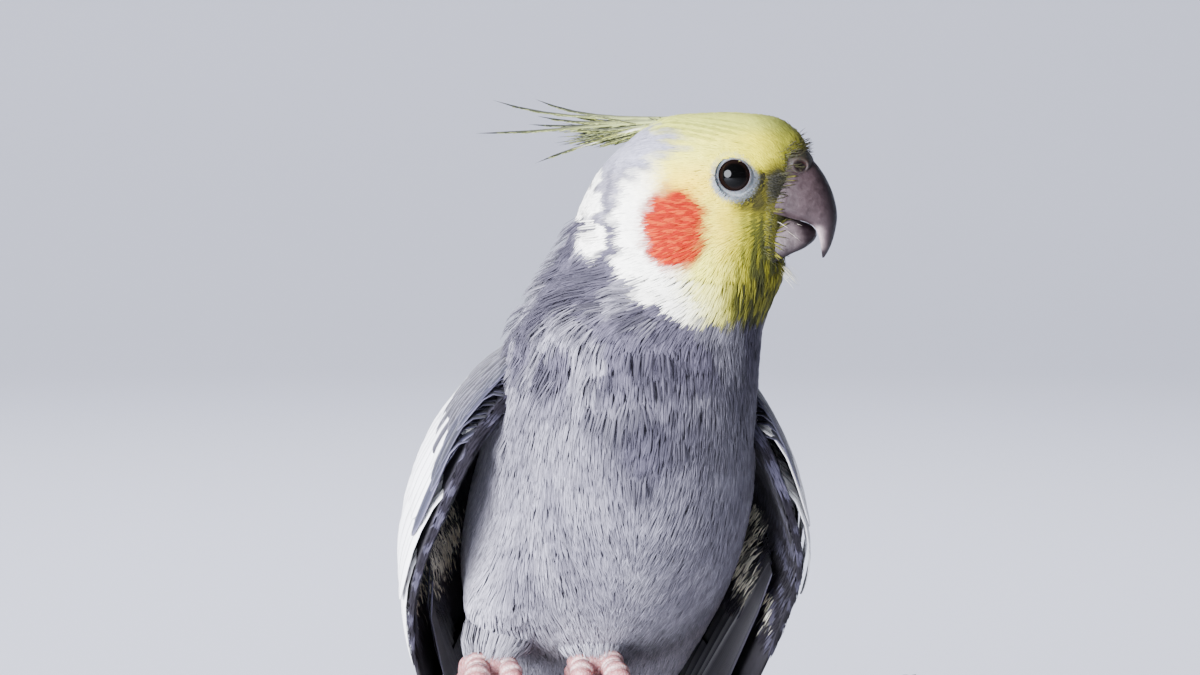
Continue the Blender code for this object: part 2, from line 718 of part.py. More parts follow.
def head(tree):
    """The head with its lids and crest, hollowed for the eyes and cut clear of the bill."""
    made = part_between(whole_body("head", "head_feather"), shifted(HEAD_CUT, GAP / 2), None)
    joined = crest()
    sockets = []
    for side in (-1, 1):
        centre, look = eye_frame(tree, side)
        joined.append(lids(centre, look))
        reach = EYE_RADIUS + GAP
        sockets.append(ellipsoid("socket", centre, (reach, reach, reach), None, 8, 12))
        tunnel = [centre, centre + look * 8]
        sockets.append(tube("opening", tunnel, [EYE_OPENING] * 2, 16, side_axis=HEAD_FORWARD))
    boolean(made, joined, "UNION", "MANIFOLD")
    return boolean(made, sockets, "DIFFERENCE", "MANIFOLD")


def eye(name, tree, side):
    centre, look = eye_frame(tree, side)
    forward = (HEAD_FORWARD - look * HEAD_FORWARD.dot(look)).normalized()
    axes = (forward, look.cross(forward), look)
    return ellipsoid(name, centre, (EYE_RADIUS,) * 3, axes, 10, 14, "eye")


# Legs: a feathered thigh, a scaled foot that grips the perch, and four claws
TOES = {  # way along the perch's top (1 is forward), root and tip offset, arc, radius
    "inner_front": (1, 2.2, 3.6, 58, 1.85),
    "outer_front": (1, -2.4, -4.4, 82, 2.1),
    "outer_back": (-1, -1.8, -5.2, 74, 1.95),
    "inner_back": (-1, 1.8, 3.0, 44, 1.75),
}
TOE_START = 6.0  # degrees from the perch's top
CLAW_LENGTH = 6.0
PERCH_AXIS_Z = -PERCH_RADIUS


def grip_point(x, degrees, distance):
    """A point round the perch, from its top towards the front, off its surface."""
    turn = math.radians(degrees)
    reach = PERCH_RADIUS + distance
    return Vector((x, PERCH_Y - reach * math.sin(turn), PERCH_AXIS_Z + reach * math.cos(turn)))


def toe_path(foot_x, outward, toe, stations=9):
    way, root_x, tip_x, arc, radius = TOES[toe]
    points, radii = [], []
    for i in range(stations):
        t = i / (stations - 1)
        x = foot_x + outward * -(root_x + (tip_x - root_x) * t)
        knuckle = 0.10 * math.cos(2 * math.pi * t * 3)
        size = radius * (1.06 - 0.30 * t + knuckle)
        height = GAP + size * 1.0 + 0.55 * math.sin(math.pi * min(t * 1.6, 1.0))
        points.append(grip_point(x, way * (TOE_START + arc * t), height))
        radii.append(size)
    return points, radii


def leg(name, foot_x, outward):
    """Tarsus, the ball of the foot and its four toes."""
    hub = grip_point(foot_x, 0, 2.7)
    ankle = Vector((foot_x + (BODY_MID_X - foot_x) * 0.22, 8.0, 10.0))
    shank = [hub.lerp(ankle, t) for t in (0, 0.33, 0.66, 1)]
    made = tube(name, shank, [2.3, 2.0, 2.0, 2.5], 9, "foot_skin")
    pieces = [ellipsoid("ball", hub, (4.3, 3.1, 2.3), None, 6, 10)]
    for toe in TOES:
        points, radii = toe_path(foot_x, outward, toe)
        pieces.append(tube(toe, points, radii, 7))
    boolean(made, pieces, "UNION", "MANIFOLD")
    clear = [whole_body("clear", grow=GAP)] + thighs(GAP)
    return boolean(made, clear, "DIFFERENCE", "MANIFOLD")


def claw(name, foot_x, outward, toe):
    """A curved, tapering claw that goes on from its toe."""
    points, radii = toe_path(foot_x, outward, toe)
    way = (points[-1] - points[-2]).normalized()
    inward = (Vector((points[-1].x, PERCH_Y, PERCH_AXIS_Z)) - points[-1]).normalized()
    start = points[-1] + way * (radii[-1] * 0.6 + GAP) + inward * -0.1
    curve, sizes = [], []
    for t in (0, 0.25, 0.5, 0.75, 1.0):
        bend = inward * (0.9 * t * t * CLAW_LENGTH * 0.5) - inward * (0.9 * t)
        curve.append(start + way * CLAW_LENGTH * t + bend)
        sizes.append(1.05 * (1 - t) ** 0.7 + 0.16)
    made = tube(name, curve, sizes, 7, "claw")
    return boolean(made, [tube("clear", points, radii, 7, grow=GAP)], "DIFFERENCE")


THIGHS = {"left": (5.0, 2.5, 8.0), "right": (-5.5, 5.5, 9.5)}
THIGH_RADII = (6.2, 8.0, 5.6)


def thighs(grow=0.0):
    """The feathered tops of the legs, which swell out under the belly."""
    axes = (Vector((1, 0, 0)), Vector((0, 0.85, 0.53)), Vector((0, -0.53, 0.85)))
    made = []
    for place in THIGHS.values():
        made.append(ellipsoid("thigh", Vector(place), THIGH_RADII, axes, 7, 12, None, grow))
    return made


# The perch and the stand
PERCH_SIDES = 18


def perch_shape(name, grow=0.0, material=None):
    """A cut length of branch, a little knotty, flat at both sawn ends."""
    rows = 12
    rings = []
    for i in range(rows):
        share = i / (rows - 1)
        x = BASE_CENTRE.x + PERCH_LENGTH * (share - 0.5)
        near_feet = math.exp(-((x / 26.0) ** 2))
        ring = []
        for j in range(PERCH_SIDES):
            turn = 2 * math.pi * j / PERCH_SIDES
            knot = 0.5 * math.sin(2 * turn + 5 * share) + 0.4 * math.sin(3 * turn - 11 * share)
            radius = PERCH_RADIUS + knot * (1 - near_feet) + grow
            place = Vector((0, math.sin(turn), math.cos(turn))) * radius
            ring.append(Vector((x, PERCH_Y, PERCH_AXIS_Z)) + place)
        rings.append(ring)
    ends = [
        Vector((BASE_CENTRE.x + PERCH_LENGTH * half, PERCH_Y, PERCH_AXIS_Z)) for half in (-0.5, 0.5)
    ]
    corners, faces = ring_mesh(rings, *ends)
    return new_object(name, corners, faces, material)


def stand_base():
    """A flat slab with rounded corners and an eased upper edge."""
    wide, long, thick = BASE_SIZE
    corner, arc = 16.0, 6
    edge = 1.5
    rings = []
    for inset, height in ((0.0, 0.0), (0.0, thick - edge), (edge * 0.3, thick - edge * 0.3), (edge, thick)):
        ring = []
        for quarter in range(4):
            for step in range(arc + 1):
                turn = math.pi / 2 * (quarter + step / arc)
                sign_x = 1 if quarter in (0, 3) else -1
                sign_y = 1 if quarter in (0, 1) else -1
                x = sign_x * (wide / 2 - corner) + math.cos(turn) * (corner - inset)
                y = sign_y * (long / 2 - corner) + math.sin(turn) * (corner - inset)
                ring.append(BASE_CENTRE + Vector((x, y, height)))
        rings.append(ring)
    corners, faces = ring_mesh(rings)
    return new_object("stand_base", corners, faces, "stand_wood")


def stand_rod(name, side):
    """A rod from the base to a small saddle under the perch."""
    x = BASE_CENTRE.x + side * ROD_SPACING / 2
    low = -PERCH_HEIGHT + BASE_SIZE[2] + GAP
    high = PERCH_AXIS_Z - 2.0
    profile = [
        (6.5, low), (6.5, low + 1.6), (ROD_RADIUS, low + 2.6), (ROD_RADIUS, high - 14.0),
        (5.4, high - 9.0), (5.4, high),
    ]
    sides = 16
    rings = []
    for radius, z in profile:
        turns = [2 * math.pi * j / sides for j in range(sides)]
        rings.append([Vector((x + radius * math.cos(t), PERCH_Y + radius * math.sin(t), z)) for t in turns])
    corners, faces = ring_mesh(rings)
    made = new_object(name, corners, faces, "stand_metal")
    return boolean(made, [perch_shape("clear", GAP)], "DIFFERENCE")


def neck():
    return part_between(
        whole_body("neck", "grey_feather"), shifted(NECK_CUT, GAP / 2), shifted(HEAD_CUT, -GAP / 2)
    )


def torso():
    made = part_between(
        whole_body("torso", "grey_feather"), shifted(TAIL_CUT, GAP / 2), shifted(NECK_CUT, -GAP / 2)
    )
    return boolean(made, thighs(), "UNION", "MANIFOLD")


def bill_upper():
    made = bill_half("bill_upper", UPPER_BILL, UPPER_BILL_TIP, "bill", 0.22)
    return boolean(made, [whole_body("clear", grow=GAP)], "DIFFERENCE")


def bill_lower():
    made = bill_half("bill_lower", LOWER_BILL, LOWER_BILL_TIP, "bill", -0.1)
    upper = bill_half("clear", UPPER_BILL, UPPER_BILL_TIP, None, 0.22, GAP)
    return boolean(made, [whole_body("clear", grow=GAP), upper], "DIFFERENCE")


def main():
    for obj in list(bpy.data.objects):
        bpy.data.objects.remove(obj)
    tree = body_tree()
    made = [head(tree), neck(), torso(), tail(), bill_upper(), bill_lower(), cere(tree)]
    for word, side in (("left", 1), ("right", -1)):
        foot_x = side * FOOT_SPACING / 2
        made.append(eye(f"eye_{word}", tree, side))
        made.append(wing(f"wing_{word}", side))
        made.append(leg(f"leg_{word}", foot_x, side))
        for toe in TOES:
            made.append(claw(f"claw_{word}_{toe}", foot_x, side, toe))
        made.append(stand_rod(f"stand_rod_{word}", side))
    made.append(perch_shape("perch", 0.0, "branch"))
    made.append(stand_base())
    for obj in made:
        obj.data.transform(Matrix.Translation(-BASE_CENTRE * MM))
        obj.data.shade_smooth()
        obj.data.set_sharp_from_angle(angle=math.radians(40))


main()
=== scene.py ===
"""A life-size cockatiel on a branch perch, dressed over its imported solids.

The bird looks over its left shoulder with its crest laid back and its wings a little
dropped. Lengths are in millimetres in the bird's own frame, +X its left, -Y its front and
zero on top of the perch between its feet, and turn to metres where a mesh is made.
"""
import math

import bmesh
import bpy
import numpy as np
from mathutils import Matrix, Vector
from mathutils.bvhtree import BVHTree


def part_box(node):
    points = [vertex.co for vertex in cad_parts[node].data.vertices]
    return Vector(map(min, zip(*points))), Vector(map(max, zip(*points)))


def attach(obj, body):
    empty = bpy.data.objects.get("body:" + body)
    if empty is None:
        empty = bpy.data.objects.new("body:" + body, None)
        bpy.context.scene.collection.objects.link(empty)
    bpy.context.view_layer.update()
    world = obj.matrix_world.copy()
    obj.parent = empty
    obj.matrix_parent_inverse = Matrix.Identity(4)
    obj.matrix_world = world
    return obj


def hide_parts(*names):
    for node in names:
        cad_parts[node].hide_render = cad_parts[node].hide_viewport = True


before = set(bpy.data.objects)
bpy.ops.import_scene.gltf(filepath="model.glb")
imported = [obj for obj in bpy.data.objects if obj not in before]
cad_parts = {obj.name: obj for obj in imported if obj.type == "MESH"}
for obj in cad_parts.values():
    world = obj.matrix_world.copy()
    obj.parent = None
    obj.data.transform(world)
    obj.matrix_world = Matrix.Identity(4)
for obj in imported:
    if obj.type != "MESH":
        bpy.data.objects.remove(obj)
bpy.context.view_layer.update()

# The camera and the studio. The view is the photograph's, a long lens level with the
# breast. The floor is a wide pale bowl of painted board whose rim curves up out of sight,
# and the light is soft: one large window-like source at the left, weaker ones elsewhere.
CAMERA_TARGET = Vector((0.0008, -0.052, 0.2226))
CAMERA_AZIMUTH, CAMERA_ELEVATION = -8.0, 4.0  # degrees
CAMERA_DISTANCE, CAMERA_LENS = 0.62, 112.7
FLOOR_RADIUS, RIM_RADIUS = 2.7, 1.6  # metres


def linear(code):
    """An sRGB hex colour as linear red, green and blue."""
    found = []
    for i in (1, 3, 5):
        c = int(code[i : i + 2], 16) / 255
        found.append(c / 12.92 if c <= 0.04045 else ((c + 0.055) / 1.055) ** 2.4)
    return tuple(found)


def add(material, kind, settings, sockets):
    """Adds a node with its settings; a socket is given a value or another node's output."""
    node = material.node_tree.nodes.new(kind)
    for name, value in settings.items():
        setattr(node, name, value)
    for name, value in sockets.items():
        if isinstance(value, bpy.types.NodeSocket):
            material.node_tree.links.new(value, node.inputs[name])
        else:
            node.inputs[name].default_value = value
    return node


def new_material(name, **values):
    """A material whose shader has these values; underscores stand for spaces."""
    material = bpy.data.materials.new(name)
    material.use_nodes = True
    shader = material.node_tree.nodes["Principled BSDF"]
    for key, value in values.items():
        shader.inputs[key.replace("_", " ")].default_value = value
    return material, shader


def link(material, output, socket):
    material.node_tree.links.new(output, socket)


def ramp(material, factor, stops):
    """A colour ramp from (place, linear colour) stops."""
    node = add(material, "ShaderNodeValToRGB", {}, {0: factor})
    elements = node.color_ramp.elements
    while len(elements) < len(stops):
        elements.new(0.5)
    for element, (place, colour) in zip(elements, stops):
        element.position = place
        element.color = (*colour, 1)
    return node.outputs[0]


def shade(material, base, factor, colour, blend="MIX"):
    """A colour output laid over another by a factor."""
    sockets = {0: factor, 6: base, 7: colour if hasattr(colour, "node") else (*colour, 1)}
    return add(material, "ShaderNodeMix", {"data_type": "RGBA", "blend_type": blend}, sockets).outputs[2]


def light(name, size, energy, colour, azimuth, elevation, distance):
    """A soft area light that faces the bird from this side, or the backdrop from over it."""
    lamp = bpy.data.lights.new(name, "AREA")
    lamp.shape, lamp.size, lamp.energy, lamp.color = "DISK", size, energy, linear(colour)
    holder = bpy.data.objects.new(name, lamp)
    bpy.context.scene.collection.objects.link(holder)
    a, e = math.radians(azimuth), math.radians(elevation)
    back = Vector((math.sin(a) * math.cos(e), -math.cos(a) * math.cos(e), math.sin(e)))
    holder.location = CAMERA_TARGET + back * distance
    holder.rotation_euler = (-back).to_track_quat("-Z", "Y").to_euler()
    holder.visible_camera = False
    return holder


def camera():
    lens = bpy.data.cameras.new("camera")
    lens.lens, lens.sensor_width, lens.clip_start = CAMERA_LENS, 36.0, 0.01
    holder = bpy.data.objects.new("camera", lens)
    bpy.context.scene.collection.objects.link(holder)
    a, e = math.radians(CAMERA_AZIMUTH), math.radians(CAMERA_ELEVATION)
    back = Vector((math.sin(a) * math.cos(e), -math.cos(a) * math.cos(e), math.sin(e)))
    holder.location = CAMERA_TARGET + back * CAMERA_DISTANCE
    holder.rotation_euler = (-back).to_track_quat("-Z", "Y").to_euler()
    bpy.context.scene.camera = holder


camera()
light("window", 0.7, 84.0, "#f4f5ff", -45, 10, 1.0)
light("back_rim", 1.4, 22.0, "#f3f5ff", 185, 52, 2.0)
backdrop = light("backdrop", 1.2, 165.0, "#eef0ff", 180, 68, 2.3)
backdrop.rotation_euler = Vector((0, 1, -0.55)).to_track_quat("-Z", "Y").to_euler()

world = bpy.data.worlds.new("studio")
bpy.context.scene.world = world
world.use_nodes = True
world.node_tree.nodes["Background"].inputs[0].default_value = (*linear("#dfe3f2"), 1)
world.node_tree.nodes["Background"].inputs[1].default_value = 0.09

bpy.ops.object.select_all(action="DESELECT")
bpy.ops.mesh.primitive_circle_add(vertices=96, radius=0.4, fill_type="NGON", location=(0, 0, 0))
bowl = bpy.context.object
bowl.name = "studio_floor"
rim = [(FLOOR_RADIUS, 0.0)]
for step in range(1, 11):
    turn = math.radians(9 * step)
    rim.append((FLOOR_RADIUS + RIM_RADIUS * math.sin(turn), RIM_RADIUS * (1 - math.cos(turn))))
bpy.ops.object.mode_set(mode="EDIT")
radius, height = 0.4, 0.0
for next_radius, next_height in rim:
    bpy.ops.mesh.select_mode(type="FACE")
    bpy.ops.mesh.select_all(action="DESELECT")
    shape = bmesh.from_edit_mesh(bowl.data)
    edges = [e for e in shape.edges if len(e.link_faces) == 1]
    bpy.ops.mesh.select_mode(type="EDGE")
    for e in edges:
        e.select_set(True)
    bmesh.update_edit_mesh(bowl.data)
    bpy.ops.mesh.extrude_region_move()
    grow = next_radius / radius
    bpy.ops.transform.resize(value=(grow, grow, 1), center_override=(0, 0, 0))
    bpy.ops.transform.translate(value=(0, 0, next_height - height))
    radius, height = next_radius, next_height
bpy.ops.object.mode_set(mode="OBJECT")
bpy.ops.object.shade_smooth()
painted_board, painted_shader = new_material("painted_board", Roughness=0.9)
board_grain = add(
    painted_board, "ShaderNodeTexNoise", {}, {"Scale": 3.0, "Detail": 2.0}
).outputs[0]
board_colour = ramp(
    painted_board, board_grain, [(0.3, linear("#cfd1da")), (0.7, linear("#d5d7df"))]
)
link(painted_board, board_colour, painted_shader.inputs["Base Color"])
bowl.data.materials.append(painted_board)

# The skin: one closed surface from the tail coverts to the crown, stretched over the
# mount. It lies under the coat by the coat's depth and carries the coat's markings, so
# what shows between two feathers is the same plumage in shade, darkened further in its
# material as painted shade.
MM = 0.001
BIRD_PLACE = np.array([-8.0, -42.0, 164.93])  # the perch's top, from the base's underside
BODY_MID_X = 12.0
HEAD_TURN = math.radians(72.0)
HEAD_CENTRE = np.array([24.3, -18.0, 81.6])
HEAD_FORWARD = np.array([math.sin(HEAD_TURN), -math.cos(HEAD_TURN), 0.0])
HEAD_LEFT = np.array([math.cos(HEAD_TURN), math.sin(HEAD_TURN), 0.0])
UP = np.array([0.0, 0.0, 1.0])
BODY_SLICES = [  # centre x, y, z, half-width, reach to the front and back, tilt in degrees
    (12.0, 70.0, -53.0, 4.6, 2.6, 2.6, 32),
    (12.0, 58.0, -34.0, 8.2, 6.0, 5.6, 33),
    (12.0, 50.0, -20.0, 11.5, 9.5, 8.0, 35),
    (12.0, 43.5, -10.0, 15.2, 12.0, 11.0, 38),
    (12.0, 36.0, -1.0, 18.6, 15.0, 14.0, 39),
    (12.0, 27.0, 8.0, 21.6, 17.5, 18.0, 38),
    (12.0, 17.5, 17.0, 23.4, 21.8, 21.0, 35),
    (12.5, 8.5, 26.5, 23.7, 27.0, 24.0, 30),
    (13.0, 0.0, 36.0, 23.0, 30.0, 25.0, 23),
    (13.2, -6.0, 45.5, 22.0, 29.5, 23.5, 15),
    (14.0, -10.0, 54.0, 20.9, 26.5, 20.5, 7),
    (14.9, -14.0, 60.5, 20.3, 21.5, 20.5, 0),
]
HEAD_SLICES = [  # height, reach to the nape and to the bill, half-width, narrowing
    (-14.0, -25.8, 13.4, 15.6, 0.12),
    (-10.0, -23.2, 13.6, 14.8, 0.18),
    (-6.0, -21.2, 13.6, 14.2, 0.22),
    (-2.0, -19.6, 14.6, 13.7, 0.24),
    (2.0, -17.6, 16.2, 13.1, 0.25),
    (5.5, -15.0, 17.2, 12.2, 0.24),
    (8.6, -11.5, 16.9, 10.6, 0.20),
    (11.0, -8.5, 14.8, 8.2, 0.12),
    (12.6, -4.5, 11.6, 5.0, 0.05),
]
HEAD_WIDEST = -3.0
TAIL_END = (12.0, 73.0, -58.0)
CROWN = (4.5, 0.0, 13.2)
FIRST_HEAD_ROW = 1 + len(BODY_SLICES)  # rows count from the pole at the tail
LAST_ROW = FIRST_HEAD_ROW + len(HEAD_SLICES)
THIGHS = [((8.5, -1.5, 9.5), (7.0, 9.0, 7.3)), ((-7.3, -0.5, 10.8), (7.3, 9.5, 8.4))]  # centres and radii


def head_place(forward, left, up):
    """Places in the head's own frame, as places in the bird's."""
    along = np.multiply.outer(forward, HEAD_FORWARD) + np.multiply.outer(left, HEAD_LEFT)
    return HEAD_CENTRE + along + np.multiply.outer(up, UP)


def in_head(places):
    """Forward, left and up in the head's own frame."""
    away = places - HEAD_CENTRE
    return away @ HEAD_FORWARD, away @ HEAD_LEFT, away[..., 2]


def catmull(a, b, c, d, t):
    return 0.5 * (2 * b + (c - a) * t + (2 * a - 5 * b + 4 * c - d) * t**2 + (3 * b - a - 3 * c + d) * t**3)


def slices_at(turn):
    """The points of every slice at these angles round it, in a rows x angles x 3 array."""
    ahead, aside, flat = np.cos(turn), np.sin(turn), np.zeros_like(turn)
    rows = [np.resize(TAIL_END, (len(turn), 3))]
    for x, y, z, half_width, front, back, tilt in BODY_SLICES:
        reach = np.where(ahead > 0, front, back) * ahead
        lean = math.radians(tilt)
        rows.append(np.stack([x + aside * half_width, y - math.cos(lean) * reach, z - math.sin(lean) * reach], -1))
    ahead, aside = np.cos(turn - HEAD_TURN), np.sin(turn - HEAD_TURN)
    for height, nape, face, half_width, taper in HEAD_SLICES:
        reach = np.where(ahead > 0, face - HEAD_WIDEST, HEAD_WIDEST - nape) * ahead
        across = aside * half_width * (1 - taper * ahead)
        rows.append(head_place(HEAD_WIDEST + reach, across, flat + height))
    rows.append(np.resize(head_place(*map(np.array, CROWN)), (len(turn), 3)))
    return np.array(rows)


def body_surface(u, v):
    """Points of the plumage's surface: u counts slices from the tail, v goes once round."""
    rows = slices_at(2 * np.pi * v)
    span = np.clip(np.floor(u).astype(int), 0, LAST_ROW - 1)
    each = np.arange(len(v))
    picks = [rows[np.clip(span + k, 0, LAST_ROW), each] for k in (-1, 0, 1, 2)]
    return catmull(*picks, (u - span)[:, None])


def smoothly(x, low, high):
    """0 below low, 1 above high, with a soft step between."""
    t = np.clip((x - low) / (high - low), 0.0, 1.0)
    return t * t * (3 - 2 * t)


def mottle(places, size, seed):
    """Smooth noise from 0 to 1 whose patches are about size across."""
    draw = np.random.default_rng(seed)
    total = np.zeros(len(places))
    for _ in range(7):
        way = draw.normal(size=3)
        way *= draw.uniform(0.7, 1.5) * math.pi / size / np.linalg.norm(way)
        total += np.sin(places @ way + draw.uniform(0, 6.28))
    return 1 / (1 + np.exp(-total * 1.1))


def closed_tube(rings):
    """Corners and triangles of rings x points x 3, whose first and last rings become poles."""
    count, columns = len(rings) - 2, rings.shape[1]
    corners = np.concatenate([rings[1:-1].reshape(-1, 3), rings[:1].mean(1), rings[-1:].mean(1)])
    i, j = np.meshgrid(np.arange(count - 1), np.arange(columns), indexing="ij")
    a, b = (i * columns + j).ravel(), (i * columns + (j + 1) % columns).ravel()
    c, d = b + columns, a + columns
    j = np.arange(columns)
    first, last = np.full(columns, count * columns), np.full(columns, count * columns + 1)
    end = (count - 1) * columns
    sets = [(a, b, c), (a, c, d), (first, (j + 1) % columns, j), (last, end + j, end + (j + 1) % columns)]
    faces = np.concatenate([np.stack(three, -1) for three in sets])
    return corners, faces if volume(corners, faces) > 0 else faces[:, ::-1]


def volume(corners, faces):
    a, b, c = (corners[faces[:, k]] for k in range(3))
    return (np.cross(a, b) * c).sum() / 6


def mesh_piece(name, corners, faces, material, nodes, tints=None, bake=None, stripes=None, soft=None):
    """A piece from arrays in the bird's frame. tints colour its corners, bake and stripes are
    maps, and soft is the ways its corners face where it is lit like the coat it is part of."""
    mesh = bpy.data.meshes.new(name)
    mesh.vertices.add(len(corners))
    mesh.vertices.foreach_set("co", ((corners + BIRD_PLACE) * MM).astype(np.float32).ravel())
    sides = faces.shape[1]
    mesh.loops.add(faces.size)
    mesh.loops.foreach_set("vertex_index", faces.astype(np.int32).ravel())
    mesh.polygons.add(len(faces))
    mesh.polygons.foreach_set("loop_start", np.arange(0, faces.size, sides, dtype=np.int32))
    mesh.update(calc_edges=True)
    if tints is not None:
        layer = mesh.color_attributes.new(name="tint", type="FLOAT_COLOR", domain="POINT")
        shades = np.concatenate([tints, np.ones((len(tints), 1))], axis=1)
        layer.data.foreach_set("color", shades.astype(np.float32).ravel())
    for label, places in (("OFBake", bake), ("stripes", stripes)):
        if places is not None:
            layer = mesh.uv_layers.new(name=label)
            layer.data.foreach_set("uv", places[faces.ravel()].astype(np.float32).ravel())
    mesh.shade_smooth()
    if soft is not None:
        mesh.normals_split_custom_set_from_vertices(soft.tolist())
    mesh.materials.append(material)
    piece = bpy.data.objects.new(name, mesh)
    bpy.context.scene.collection.objects.link(piece)
    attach(piece, "root")
    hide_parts(*nodes)
    return piece


# The plumage's colours, as a grey cockatiel with pied flecks has them
GREY = np.array(linear("#6b6973"))
NECK_GREY = np.array(linear("#4e4b58"))
PALE_GREY = np.array(linear("#93919a"))
# a pale grey laid on the bird's right flank as painted light, where the wing's shadow falls
FLANK_PAINTED_LIGHT = np.array(linear("#b3b1ba"))
SLATE = np.array(linear("#403e49"))
BACK_GREY = np.array(linear("#4a4852"))
LILAC = np.array(linear("#a3a3b2"))
YELLOW = np.array(linear("#cfc417"))
PALE_YELLOW = np.array(linear("#dfdb5c"))
GOLD = np.array(linear("#f0c91e"))
CREAM = np.array(linear("#fbfaee"))
OLIVE = np.array(linear("#5c6220"))
DARK_OLIVE = np.array(linear("#292b14"))
OLIVE_GREY = np.array(linear("#222113"))
CROWN_GREEN = np.array(linear("#b9c25a"))
CROWN_OLIVE = np.array(linear("#747b2e"))
ORANGE = np.array(linear("#8c1500"))
PEACH = np.array(linear("#bb4d18"))
# The bib's rear edge: height in the head's frame, and how far forward the edge lies
BIB_HEIGHTS = [-21.0, -19.6, -17.7, -16.6, -14.4, -10.0, -6.3, -3.4, 0.3, 3.0, 6.0, 8.0, 9.6, 11.0, 13.5]
BIB_EDGES = [1.5, -2.5, -7.3, -10.3, -12.4, -13.9, -13.4, -14.6, -13.6, -11.0, -6.8, -3.4, -4.2, -8.0, -10.0]
CHEEK = (-4.5, -5.2, 5.5, 6.9)  # forward, up and the two radii of the orange patch


